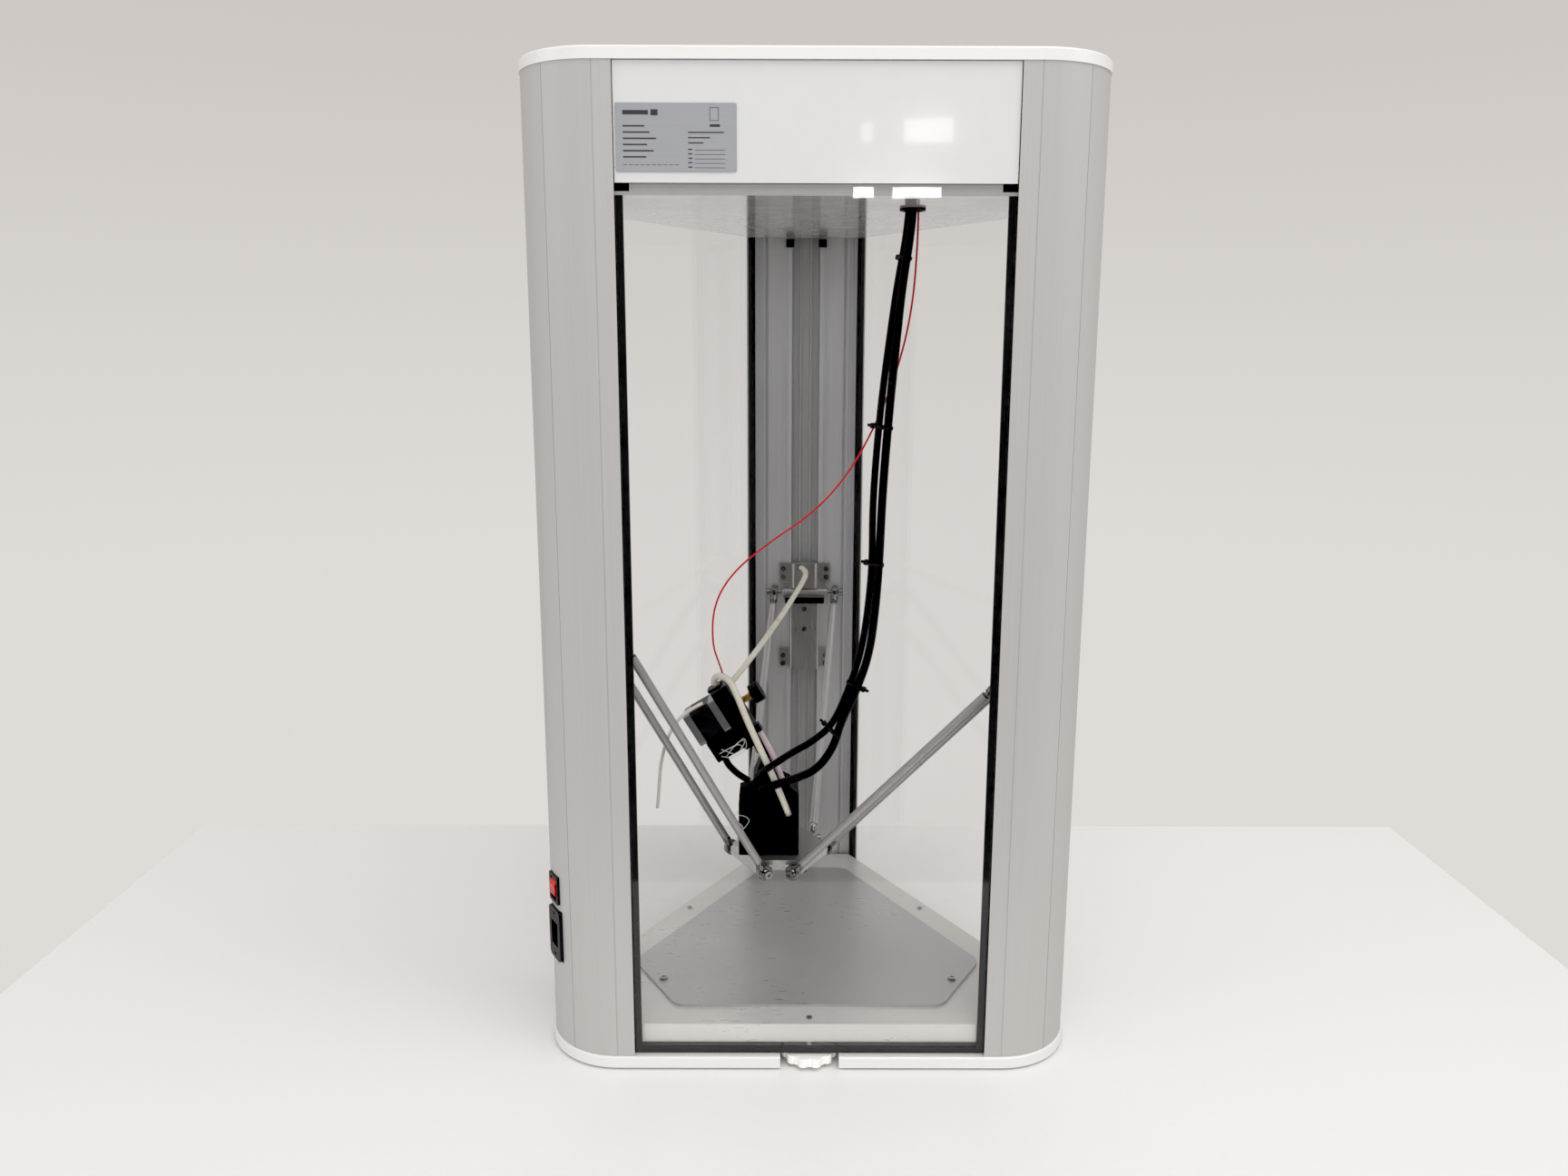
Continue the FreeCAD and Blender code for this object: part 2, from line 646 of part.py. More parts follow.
def build_carriage(name, turn):
    z = HEIGHTS[name]
    y = ball_d
    back = wall_d - rail_up - 1
    spine = ease(span(-16.8, 16.8, y - 3, back, z - 92.5, z - 8), 2.5,
                 lambda e: upright(e) and e.BoundBox.YMin < 210)
    crown = ease(span(-15.2, 15.2, y - 5, back, z + 5, z + 34), 5,
                 lambda e: upright(e) and e.BoundBox.YMin < 210)
    parts = [
        spine, crown,
        span(-29.3, 29.3, y + 2.5, back, z + 11, z + 33.5),
        span(-29.3, 29.3, y + 2.5, back, z - 90, z - 68),
        span(-24, 24, y - 1, back, z - 8, z + 11),
        rod(4.2, 52, -26, y, z, "x"),
        span(-22.5, 22.5, y - 5.6, y, z - 12.5, z - 6),
        span(-13.5, 13.5, back - 0.5, wall_d + 1.7, z - 88, z + 30)]
    for side in (-1, 1):
        leg = sorted((side * 9.2, side * 13.5))
        wing = sorted((side * 13, side * 19.8))
        parts.append(span(leg[0], leg[1], wall_d + 1, wall_d + 11.3, z - 88, z + 30))
        parts.append(span(wing[0], wing[1], wall_d + 5.3, wall_d + 10.7, z - 88, z + 30))
    parts.append(span(7.5, 9.4, wall_d + 2.9, wall_d + 8.5, z - 40, z - 10))
    body = fuse(*parts)
    relief = span(-9, 9, y - 4, y - 1.8, z - 95, z - 13)
    ribs = [span(-21 + 2.0 * i, -20.1 + 2.0 * i, y - 6, y - 5.1, z - 13, z - 5.5) for i in range(21)]
    hanger_seat = rod(3.8, 4, HANGER[0][0], y - 5.5, z + 29.3, "y")
    extra = [hanger_seat] if name == "rear" else []
    node(cut(body, relief, *(ribs + extra)), "carriage_" + name, turn)

    face = AXIS["y"].multiply(Rotation(Vector(1, 0, 0), 180))
    items = [ball_bolt(side, 26.0, pair * 0.5, y, z) for side in (-1, 1)]
    for side in (-1, 1):
        for dz in (27, 17.2, -77, -86.4):
            items.append(screw(side * 24.8, num(y) + 2.5, z + dz, face, 2.9, 1.9))
    for dz in (-20, -44):
        items.append(screw(0, num(y) - 1.8, z + dz, face, 2.9, 1.2))
    node(group(*items), "carriage_bolts_" + name, turn)


def rod_end(z, up, clearance):
    """A ring round a ball at height z with its shank towards up (+1 or -1) and its lock nut."""
    ring = rod(ring_r, ring_w, ring_w * -0.5, 0, z, "x")
    ring = ease(ring, 1.2, is_round)
    tilt = Rotation() if up > 0 else Rotation(Vector(1, 0, 0), 180)
    shank = rod(4.1, 5.5, 0, 0, z + up * 6.3, tilt)
    stud = rod(2.3, 16, 0, 0, z + up * 11, tilt)
    body = cut(fuse(ring, shank, stud), ball(ball_r + clearance, 0, 0, z, "x"))
    nut = cut(hexagon(7, 2.2, 0, 0, z + up * 11.9, tilt), rod(2.35, 6, 0, 0, z + up * 10, tilt))
    return [body, nut]


def build_rods():
    for name, turn in TOWERS.items():
        a = math.radians(turn)
        across = Vector(math.cos(a), math.sin(a), 0)
        out = Vector(-math.sin(a), math.cos(a), 0)
        centre = Vector(eff_x.value, eff_y.value, eff_z.value)
        low0 = centre + out * eff_off.value
        high0 = out * ball_d.value + Vector(0, 0, HEIGHTS[name])
        for which, side in (("a", -1), ("b", 1)):
            low = low0 + across * (side * pair.value / 2)
            high = high0 + across * (side * pair.value / 2)
            along = high - low
            length = along.Length
            along.normalize()
            bolt = across - along * across.dot(along)
            bolt.normalize()
            third = along.cross(bolt)
            turn_rod = Rotation(FreeCAD.Matrix(
                bolt.x, third.x, along.x, 0,
                bolt.y, third.y, along.y, 0,
                bolt.z, third.z, along.z, 0,
                0, 0, 0, 1))
            tube = cut(rod(tube_r, rod_len - 32, 0, 0, 14.3), rod(2.9, rod_len, 0, 0, 0))
            tube = ease(tube, 0.5, lambda e: is_round(e) and e.Curve.Radius > 3.5)
            parts = [tube] + rod_end(0, 1, 0.62) + rod_end(length, -1, 0.1)
            piece = group(*parts)
            piece.Label = "rod_%s_%s" % (name, which)
            piece.Placement = Placement(low + Vector(0, axis_y.value, 0), turn_rod)
            nodes[piece.Label] = piece


def build_effector():
    x0, y0, z0 = eff_x, eff_y, eff_z
    points = []
    bars = []
    bolts = []
    for turn in TOWERS.values():
        c, s = math.cos(math.radians(turn)), math.sin(math.radians(turn))
        for x in (24, -24):
            px = x * c - 41.4 * s
            py = x * s + 41.4 * c
            points.append((x0 + px, y0 + py))
        bar = span(-27, 27, eff_off - 5, eff_off + 5, -5, 5.2)
        bar = ease(bar, 2.5, lambda e: along_x(e) and e.BoundBox.ZMax < 0)
        pair_bolts = group(*[ball_bolt(side, 27.0, pair * 0.5, eff_off, 0) for side in (-1, 1)])
        for piece, store in ((bar, bars), (pair_bolts, bolts)):
            link = turned(piece, turn)
            move(link, x0, y0, z0, Rotation(Vector(0, 0, 1), turn))
            store.append(link)
    plate = outline_body(points, 4.5, z0 + 5, 3)
    throat = rod(11.5, 30, x0, y0, z0 - 10)
    holes = [rod(1.7, 20, x0 + 17 * math.cos(a), y0 + 17 * math.sin(a), z0 - 5)
             for a in (0.5, 2.6, 4.7)]
    node(cut(fuse(plate, *bars), throat, *holes), "effector_plate")
    node(group(*bolts), "effector_bolts")

    block = ease(span(x0 - 11, x0 + 11, y0 - 10, y0 + 9, z0 - 15.5, z0 - 4), 2, upright)
    nozzle = fuse(cone(0.9, 3.4, 3.2, x0, y0, z0 - 20), hexagon(7, 2, x0, y0, z0 - 16.9))
    neck = rod(3, 24, x0, y0, z0 - 5)
    fins = [rod(10.5, 1.6, x0, y0, z0 + 14 + 4 * i) for i in range(7)]
    core = rod(6, 27, x0, y0, z0 + 13)
    node(fuse(block, nozzle, neck, core, *fins), "hotend")

    low_box = ease(span(x0 - 40, x0 + 19.6, y0 - 29.5, y0 + 22.5, z0 + 9.6, z0 + 63), 2.5, upright)
    profile = [(-40, 62), (-40, 66), (-23, 70), (-26, 82), (-17, 104), (-10, 104), (-4, 82), (10, 76),
               (19.6, 67), (19.6, 62)]
    hood = outline_body([(x0 + px, z0 + pz) for px, pz in profile], 34.5, -(y0 + 22.5))
    hood.Placement = Placement(Vector(), Rotation(Vector(1, 0, 0), 90))
    inside = cut(
        fuse(
            span(x0 - 38, x0 + 17.6, y0 - 27.5, y0 + 20.5, z0 + 9, z0 + 61),
            span(x0 - 20, x0 - 2, y0 - 9, y0 + 20, z0 + 60, z0 + 79)),
        span(x0 - 3, x0 + 17, y0 - 28, y0 - 14.5, z0 + 45, z0 + 62))
    fan_port = rod(14.5, 8, x0 - 44, y0 - 4, z0 + 31, "x")
    outlet = span(x0 + 14, x0 + 22, y0 - 14, y0 + 10, z0 + 12, z0 + 20)
    slits = [span(x0 - 41, x0 - 36, y0 - 24, y0 - 20, z0 + 16 + 7 * i, z0 + 19 + 7 * i) for i in range(5)]
    tube_recess = span(x0 - 1, x0 + 15, y0 - 31, y0 - 16.5, z0 + 47, z0 + 64)
    node(cut(fuse(low_box, hood), inside, fan_port, outlet, tube_recess, *slits), "hotend_shroud")

    hub = rod(5.5, 6, x0 - 39, y0 - 4, z0 + 31, "x")
    blades = []
    for i in range(7):
        a = 360.0 * i / 7
        blade = box(5.2, 1.2, 13.2, 0, 0, 0, Rotation(Vector(0, 0, 1), 28))
        arm = group(blade)
        arm.Placement = Placement(
            Vector(num(x0) - 38.6, num(y0) - 4, num(z0) + 31), Rotation(Vector(1, 0, 0), a))
        blades.append(arm)
    node(fuse(hub, *blades), "fan_rotor")


TILT = 31.3
FEEDER = Vector(-84.5, 2.0, 289.5)
KNOB_DROP = -1.8


def feeder_place(forward, side, down):
    """A point of the tilted extruder: forward along the motor axis, side, down along its face."""
    c, s = math.cos(math.radians(TILT)), math.sin(math.radians(TILT))
    return FEEDER + Vector(forward * c + down * s, side, forward * s - down * c)


def feeder(obj):
    """Put a piece drawn with the motor axis along +x and its face down along -z."""
    holder = group(obj)
    holder.Placement = Placement(FEEDER, Rotation(Vector(0, 1, 0), -TILT))
    return holder


def build_extruder():
    half = num(feeder_w) / 2
    stack = ease(span(-29, -7.6, -half, half, -half, half), 3, along_x, "Part::Chamfer")
    bell0 = ease(span(-36.4, -29, -half, half, -half, half), 3, along_x)
    bell1 = ease(span(-7.6, -0.1, -half, half, -half, half), 3, along_x)
    can = cut(fuse(stack, bell0, bell1), rod(2.05, 20, -12, 0, 0, "x"))
    node(group(feeder(can)), "extruder_motor")

    main = ease(span(0, 18, -half - 0.6, half + 0.6, -44, 24), 3, along_x)
    side = ease(span(-31, 1, -15, 15, -42, -18.2), 2.5, along_x)
    bump = ease(span(-3, 12, -9, 8, 23, 26), 2, upright)
    outlet = span(17, 25, -18, -8, -34, -26)
    pocket = rod(7.2, 12, 5, 0, 0, "x")
    shaft_way = rod(2.6, 9, -1, 0, 0, "x")
    knob_way = rod(2.4, 4, 16, 0, KNOB_DROP, "x")
    throat = rod(1.3, 80, 14.5, 7.0, -45, "z")
    case = cut(fuse(main, side, bump, outlet), pocket, shaft_way, knob_way, throat)
    start = feeder_place(12, 0, 38)
    foot = Vector(-33, -1, 228.3)
    lean = Rotation(Vector(0, 0, 1), foot - start)
    arm = cone(5.5, 9.5, (foot - start).Length, start.x, start.y, start.z, lean)
    bracket = cut(arm, span(-90, 10, -40, 40, 180, eff_z + 104.1), feeder(span(-1, 40, -30, 30, -44.1, 10)))
    loom = tube_along(MOTOR_LOOM, 3.4, "motor loom")
    node(group(feeder(case), bracket, loom), "extruder_body")

    gear = fuse(rod(5.6, 8, 8.5, 0, 0, "x"), rod(2.0, 20, -10, 0, 0, "x"))
    teeth = []
    for i in range(18):
        a = 2 * math.pi * i / 18
        teeth.append(rod(0.55, 10, 8, 5.8 * math.cos(a), 5.8 * math.sin(a), "x"))
    node(group(feeder(cut(gear, *teeth))), "drive_gear")

    knob = rod(10.2, 10.5, 32.3, 0, KNOB_DROP, "x")
    flutes = []
    for i in range(16):
        a = 2 * math.pi * i / 16
        flutes.append(rod(0.9, 12, 31.5, 10.5 * math.cos(a), KNOB_DROP + 10.5 * math.sin(a), "x"))
    knob = cut(ease(knob, 0.8, is_round), *flutes)
    spindle = rod(2.1, 17, 17.3, 0, KNOB_DROP, "x")
    collar = fuse(rod(4.2, 2.5, 29.9, 0, KNOB_DROP, "x"), rod(3.8, 2, 18.3, 0, KNOB_DROP, "x"))
    coils = [rod(3.5, 0.9, 21.1 + 1.8 * i, 0, KNOB_DROP, "x") for i in range(5)]
    node(group(feeder(fuse(knob, spindle, collar, *coils))), "tension_knob")


# ---------------------------------------------------------------- cords
def tube_along(points, radius, name):
    """A round tube along straight runs joined by tangent arcs."""
    points = [Vector(*p) for p in points]
    edges = []
    start = points[0]
    radii = []
    for i in range(1, len(points) - 1):
        before = points[i] - points[i - 1]
        after = points[i + 1] - points[i]
        turn = before.getAngle(after)
        shorter = min(before.Length, after.Length)
        reach = 0.45 * shorter
        bend = reach / math.tan(turn / 2)
        radii.append((round(bend, 1), round(math.degrees(turn))))
        before.normalize()
        after.normalize()
        p1 = points[i] - before * reach
        p2 = points[i] + after * reach
        middle = after - before
        middle.normalize()
        centre = points[i] + middle * (bend / math.cos(turn / 2))
        p_mid = centre - middle * bend
        edges.append(Part.LineSegment(start, p1).toShape())
        edges.append(Part.Arc(p1, p_mid, p2).toShape())
        start = p2
    edges.append(Part.LineSegment(start, points[-1]).toShape())
    wire = Part.Wire(edges)
    first = points[1] - points[0]
    first.normalize()
    circle = Part.Wire([Part.makeCircle(radius, points[0], first)])
    shape = wire.makePipeShell([circle], True, False, 2)
    print(name, "length", round(wire.Length, 1), "radii, turns", radii,
          "volume ratio", round(shape.Volume / (math.pi * radius ** 2 * wire.Length), 4))
    obj = doc.addObject("Part::Feature", "tube")
    obj.Shape = shape
    return obj


CABLE_A = [(85, -71.6, 850), (85, -71.6, 800), (83.6, -71.6, 748), (76.4, -70.4, 702), (69.8, -68.4, 650),
           (63.4, -65, 600), (57.8, -60.2, 545), (56.4, -54.8, 497), (58.2, -50, 448), (55, -46.5, 400),
           (49.5, -44, 360), (38.5, -42, 324), (23.5, -40.6, 287), (2.5, -41.2, 269.5), (-14.5, -43.8, 261),
           (-31, -44.6, 250), (-43.5, -39, 239.5), (-51, -27, 229)]
CABLE_B = [(87.2, -79.4, 850), (87.2, -79.4, 800), (86.6, -79.4, 748), (80.8, -77.8, 702), (75.2, -74.6, 650),
           (70.6, -70, 600), (67, -64.6, 545), (65.8, -57.4, 497), (65.2, -54, 448), (62.6, -52, 400),
           (58.6, -49, 360), (47.5, -46.6, 324), (32.5, -44, 292), (24.5, -42.6, 265), (8.5, -42.4, 242),
           (-13, -42.8, 232.5), (-33, -43, 226.5), (-45.5, -30, 216)]
FEED = [(-93.6, -2, 317.1), (-94.2, -4.2, 323.4), (-88, -10, 328.6), (-77.5, -18.5, 326), (-69.7, -26, 312),
        (-60, -31, 288), (-45.3, -31.8, 255), (-32.6, -31.6, 226), (-18.7, -30.5, 190)]
GUIDE = [(-48.5, -11, 271), (-44, -12, 263.8), (-39.5, -13.5, 256), (-34.6, -14.9, 245.5), (-30.2, -15.3, 234),
         (-25.8, -15, 222.6)]
LOOSE = [(-104.8, -12, 300.3), (-124, -20, 293), (-139, -24, 270), (-146, -26, 243), (-148, -27, 216),
         (-150, -27, 196)]
HANGER = [(-4.5, 208.2, 396.5), (-1.5, 201, 396.5), (1.5, 194, 392), (-1.5, 184, 386.5), (-9, 166, 377.5),
          (-26, 122, 359.5), (-46, 66, 343), (-65, 22, 327.5), (-76.5, 4, 317.6)]
STRAND = [(92.6, -57.4, 850), (93, -57.2, 792), (93, -56.4, 733), (89.5, -54, 678), (78, -50, 626),
          (60, -45, 578), (36, -41, 532), (4, -39, 495), (-36, -37, 468), (-73, -31, 437), (-92.5, -23, 403),
          (-95, -10, 360), (-88, 5, 334), (-84.2, 9, 319.6)]
MOTOR_LOOM = [(-84, 2, 239), (-80.5, 2, 231), (-72, 3, 221.5), (-59.5, 4, 212.8)]
TIE_HEIGHTS = (725, 577, 447, 329)


def point_at(points, height):
    """Where a route that runs downwards passes a height, and its direction there."""
    for a, b in zip(points, points[1:]):
        if b[2] < height <= a[2]:
            start, run = Vector(*a), Vector(*b) - Vector(*a)
            return start + run * ((a[2] - height) / (a[2] - b[2])), run


def build_cords():
    cable_a = tube_along(CABLE_A, 3.3, "cable a")
    cable_b = tube_along(CABLE_B, 3.85, "cable b")
    node(group(cable_a, cable_b), "cable_trunk")
    ties = []
    for height in TIE_HEIGHTS:
        spot_a, run = point_at(CABLE_A, height)
        spot_b, _ = point_at(CABLE_B, height)
        inner = (spot_b - spot_a).Length / 2 + 5
        middle = (spot_a + spot_b) * 0.5
        turn = Rotation(Vector(0, 0, 1), run)
        band = cut(rod(inner + 1, 4, middle.x, middle.y, middle.z, turn),
                   rod(inner, 6, middle.x, middle.y, middle.z + 1, turn))
        ties.append(band)
    node(group(*ties), "cable_ties")
    feed = tube_along(FEED, 3.3, "feed tube")
    guide = tube_along(GUIDE, 3.0, "guide tube")
    loose = tube_along(LOOSE, 1.6, "loose tube")
    node(group(feed, guide, loose), "feed_tube")
    node(tube_along(HANGER, 3.0, "hanger tube"), "hanger_tube")
    node(tube_along(STRAND, 0.875, "filament"), "filament_strand")


build_base()
for tower, tower_turn in TOWERS.items():
    build_column(tower, tower_turn)
    build_carriage(tower, tower_turn)
build_covers()
build_sides()
build_bed()
build_drives()
build_electrics()
build_rods()
build_effector()
build_extruder()
build_cords()
doc.recompute()

# ---------------------------------------------------------------- checks and export
broken = []
for thing in doc.Objects:
    if "Invalid" in thing.State or "Error" in thing.State:
        broken.append((thing.Name, thing.Label, thing.State))
for label, thing in nodes.items():
    if thing.Shape.isNull() or not thing.Shape.isValid() or not thing.Shape.Solids:
        broken.append((label, "shape"))
if broken:
    raise RuntimeError("unsound pieces: %s" % broken)
os.makedirs("parts", exist_ok=True)
for label, thing in nodes.items():
    thing.Shape.exportStep("parts/%s.step" % label)
    bounds = thing.Shape.BoundBox
    print("%-24s solids %3d volume %9.0f z %.1f to %.1f" % (
        label, len(thing.Shape.Solids), thing.Shape.Volume, bounds.ZMin, bounds.ZMax))
print(len(nodes), "nodes; carriage heights", HEIGHTS)
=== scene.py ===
import math

import bmesh
import bpy
from mathutils import Matrix, Vector


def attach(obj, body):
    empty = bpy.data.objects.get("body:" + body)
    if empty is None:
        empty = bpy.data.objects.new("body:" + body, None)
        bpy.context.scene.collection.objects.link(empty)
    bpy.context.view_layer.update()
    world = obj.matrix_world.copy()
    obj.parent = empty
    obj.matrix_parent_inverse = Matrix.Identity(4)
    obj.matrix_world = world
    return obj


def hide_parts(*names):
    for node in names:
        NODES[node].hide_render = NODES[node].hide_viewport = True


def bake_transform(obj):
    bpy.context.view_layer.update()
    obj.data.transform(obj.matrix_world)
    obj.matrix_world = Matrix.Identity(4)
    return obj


# Looks for the enclosed delta printer. Metres, +Z up, the flat front faces -Y.
# Most places are given about the print axis in millimetres, and at() turns them into the row frame.
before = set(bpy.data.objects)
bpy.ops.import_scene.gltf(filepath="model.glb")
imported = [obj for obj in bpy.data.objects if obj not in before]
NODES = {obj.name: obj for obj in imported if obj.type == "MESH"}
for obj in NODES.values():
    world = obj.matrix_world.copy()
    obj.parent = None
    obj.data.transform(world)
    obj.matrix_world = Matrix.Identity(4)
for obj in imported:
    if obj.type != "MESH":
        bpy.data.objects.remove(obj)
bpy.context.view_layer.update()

# how far the print axis stands from the row's origin along y, in millimetres
AXIS_Y = -48.95
TOWERS = {"rear": 0.0, "left": 120.0, "right": 240.0}
SIDES = {"front": 0.0, "right": 120.0, "left": 240.0}
TO_METRES = Matrix.Scale(0.001, 4)


def at(x, y, z):
    return Vector((x, y + AXIS_Y, z)) * 0.001


def tower_matrix(turn):
    """From millimetres in a tower's own frame, +y outwards, to the row frame in metres."""
    return Matrix.Translation(at(0, 0, 0)) @ Matrix.Rotation(math.radians(turn), 4, "Z") @ TO_METRES


# ---------------------------------------------------------------- camera
camera_data = bpy.data.cameras.new("camera")
camera_data.sensor_width = 36.0
camera_data.lens = 27.374
camera_data.clip_start = 0.02
camera_data.clip_end = 60.0
camera = bpy.data.objects.new("camera", camera_data)
bpy.context.scene.collection.objects.link(camera)
bpy.context.scene.camera = camera
PITCH, YAW, ROLL = 0.2009, -0.0018, 0.0029
forward = Vector((-math.sin(YAW) * math.cos(PITCH), math.cos(YAW) * math.cos(PITCH), -math.sin(PITCH)))
flat_right = Vector((math.cos(YAW), math.sin(YAW), 0))
flat_up = flat_right.cross(forward)
right = flat_right * math.cos(ROLL) + flat_up * math.sin(ROLL)
up = flat_up * math.cos(ROLL) - flat_right * math.sin(ROLL)
camera.rotation_mode = "QUATERNION"
camera.rotation_quaternion = Matrix((right, up, -forward)).transposed().to_quaternion()
camera.location = (-0.0263, -1.1991, 0.6489)


# ---------------------------------------------------------------- materials
class Tree:
    """Short calls for building a material's nodes."""

    def __init__(self, name):
        self.mat = bpy.data.materials.new(name)
        self.mat.use_nodes = True
        self.nodes = self.mat.node_tree.nodes
        self.links = self.mat.node_tree.links
        self.nodes.clear()
        self.out = self.nodes.new("ShaderNodeOutputMaterial")
        self.coord = self.nodes.new("ShaderNodeTexCoord")

    def add(self, kind, **values):
        node = self.nodes.new(kind)
        for key, value in values.items():
            setattr(node, key, value)
        return node

    def join(self, source, target):
        self.links.new(source, target)

    def mapped(self, scale, turn=(0, 0, 0), source="Object"):
        node = self.add("ShaderNodeMapping")
        node.inputs["Scale"].default_value = scale
        node.inputs["Rotation"].default_value = turn
        self.join(self.coord.outputs[source], node.inputs["Vector"])
        return node.outputs["Vector"]

    def noise(self, scale, detail=4.0, roughness=0.55, turn=(0, 0, 0), source="Object"):
        node = self.add("ShaderNodeTexNoise")
        node.inputs["Scale"].default_value = 1.0
        node.inputs["Detail"].default_value = detail
        node.inputs["Roughness"].default_value = roughness
        self.join(self.mapped(scale, turn, source), node.inputs["Vector"])
        return node.outputs["Fac"]

    def ramp(self, value, low, high, out_low=0.0, out_high=1.0):
        node = self.add("ShaderNodeMapRange")
        node.inputs["From Min"].default_value = low
        node.inputs["From Max"].default_value = high
        node.inputs["To Min"].default_value = out_low
        node.inputs["To Max"].default_value = out_high
        self.join(value, node.inputs["Value"])
        return node.outputs["Result"]

    def math(self, operation, a, b):
        node = self.add("ShaderNodeMath", operation=operation)
        for socket, value in zip(node.inputs, (a, b)):
            if isinstance(value, (int, float)):
                socket.default_value = value
            else:
                self.join(value, socket)
        return node.outputs["Value"]

    def blend(self, factor, a, b):
        node = self.add("ShaderNodeMix", data_type="RGBA")
        for key, value in (("Factor", factor), ("A", a), ("B", b)):
            socket = [s for s in node.inputs if s.name == key and s.enabled][0]
            if isinstance(value, (int, float)):
                socket.default_value = value
            elif isinstance(value, tuple):
                socket.default_value = (*value, 1.0)
            else:
                self.join(value, socket)
        return [s for s in node.outputs if s.enabled][0]

    def bump(self, height, strength, distance):
        node = self.add("ShaderNodeBump")
        node.inputs["Strength"].default_value = strength
        node.inputs["Distance"].default_value = distance
        self.join(height, node.inputs["Height"])
        return node.outputs["Normal"]

    def principled(self, colour, rough, normal=None, **sockets):
        node = self.add("ShaderNodeBsdfPrincipled")
        self.join(colour, node.inputs["Base Color"])
        self.join(rough, node.inputs["Roughness"])
        if normal is not None:
            self.join(normal, node.inputs["Normal"])
        for key, value in sockets.items():
            node.inputs[key.replace("_", " ")].default_value = value
        self.join(node.outputs["BSDF"], self.out.inputs["Surface"])
        return node


def tinted(colour, amount):
    return tuple(min(1.0, c * amount) for c in colour)


def finish(name, colour, rough, grain=(90, 90, 90), shade=0.05, spread=0.05, bump=0.15, depth=0.0001,
           cloud=5.0, cloud_shade=0.04, worn=None, **sockets):
    """A surface with fine grain in colour, roughness and bump, and slow clouds of wear over it."""
    t = Tree(name)
    fine = t.noise(grain)
    slow = t.noise((cloud, cloud, cloud), 3.0)
    base = t.blend(t.ramp(fine, 0.3, 0.7), tinted(colour, 1 - shade), tinted(colour, 1 + shade))
    base = t.blend(t.ramp(slow, 0.35, 0.75, 0.0, cloud_shade * 4), base, tinted(colour, 0.75))
    fine_rough = t.ramp(fine, 0.3, 0.7, rough - spread, rough + spread)
    slow_rough = t.ramp(slow, 0.3, 0.7, -0.03, 0.04)
    roughness = t.math("ADD", fine_rough, slow_rough)
    if worn:
        edge = t.add("ShaderNodeBevel", samples=4)
        edge.inputs["Radius"].default_value = worn[0]
        plain = t.add("ShaderNodeNewGeometry")
        dot = t.add("ShaderNodeVectorMath", operation="DOT_PRODUCT")
        t.join(edge.outputs["Normal"], dot.inputs[0])
        t.join(plain.outputs["Normal"], dot.inputs[1])
        mask = t.math("MULTIPLY", t.ramp(dot.outputs["Value"], 0.995, 0.93), t.ramp(fine, 0.35, 0.6))
        base = t.blend(mask, base, worn[1])
    normal = t.bump(fine, bump, depth) if bump else None
    t.principled(base, roughness, normal, **sockets)
    return t.mat


def braid(name, colour, strands, pitch):
    """A woven sleeve: two sets of threads that cross, over the UVs of a tube."""
    t = Tree(name)
    split = t.add("ShaderNodeSeparateXYZ")
    t.join(t.coord.outputs["UV"], split.inputs["Vector"])
    waves = []
    for sign in (1, -1):
        turn = t.math("MULTIPLY", split.outputs["X"], 2 * math.pi * strands)
        along = t.math("MULTIPLY", split.outputs["Y"], sign * 2 * math.pi / pitch)
        waves.append(t.math("SINE", t.math("ADD", turn, along), 0.0))
    weave = t.math("MAXIMUM", waves[0], waves[1])
    slow = t.noise((40, 40, 40), 3.0)
    base = t.blend(t.ramp(weave, 0.0, 1.0), tinted(colour, 0.45), tinted(colour, 1.5))
    base = t.blend(t.ramp(slow, 0.4, 0.7, 0.0, 0.35), base, tinted(colour, 2.2))
    rough = t.ramp(weave, 0.0, 1.0, 0.62, 0.4)
    t.principled(base, rough, t.bump(weave, 0.5, 0.0005), Specular_IOR_Level=0.2)
    return t.mat


def pane_material():
    """Clear acrylic: see-through, with a sharp reflection and a trace of dust."""
    t = Tree("clear_acrylic")
    clear = t.add("ShaderNodeBsdfTransparent")
    clear.inputs["Color"].default_value = (0.997, 0.998, 0.998, 1)
    gloss = t.add("ShaderNodeBsdfGlossy")
    gloss.inputs["Color"].default_value = (1, 1, 1, 1)
    gloss.inputs["Roughness"].default_value = 0.015
    facing = t.add("ShaderNodeLayerWeight")
    facing.inputs["Blend"].default_value = 0.5
    grazing = t.math("POWER", facing.outputs["Facing"], 5.0)
    mirror = t.ramp(grazing, 0.0, 1.0, 0.026, 1.0)
    dust = t.add("ShaderNodeBsdfDiffuse")
    dust.inputs["Color"].default_value = (0.8, 0.8, 0.8, 1)
    first = t.add("ShaderNodeMixShader")
    t.join(t.ramp(t.noise((14, 14, 14), 6.0, 0.65), 0.45, 0.8, 0.0, 0.006), first.inputs["Fac"])
    t.join(clear.outputs["BSDF"], first.inputs[1])
    t.join(dust.outputs["BSDF"], first.inputs[2])
    second = t.add("ShaderNodeMixShader")
    t.join(mirror, second.inputs["Fac"])
    t.join(first.outputs["Shader"], second.inputs[1])
    t.join(gloss.outputs["BSDF"], second.inputs[2])
    t.join(second.outputs["Shader"], t.out.inputs["Surface"])
    return t.mat


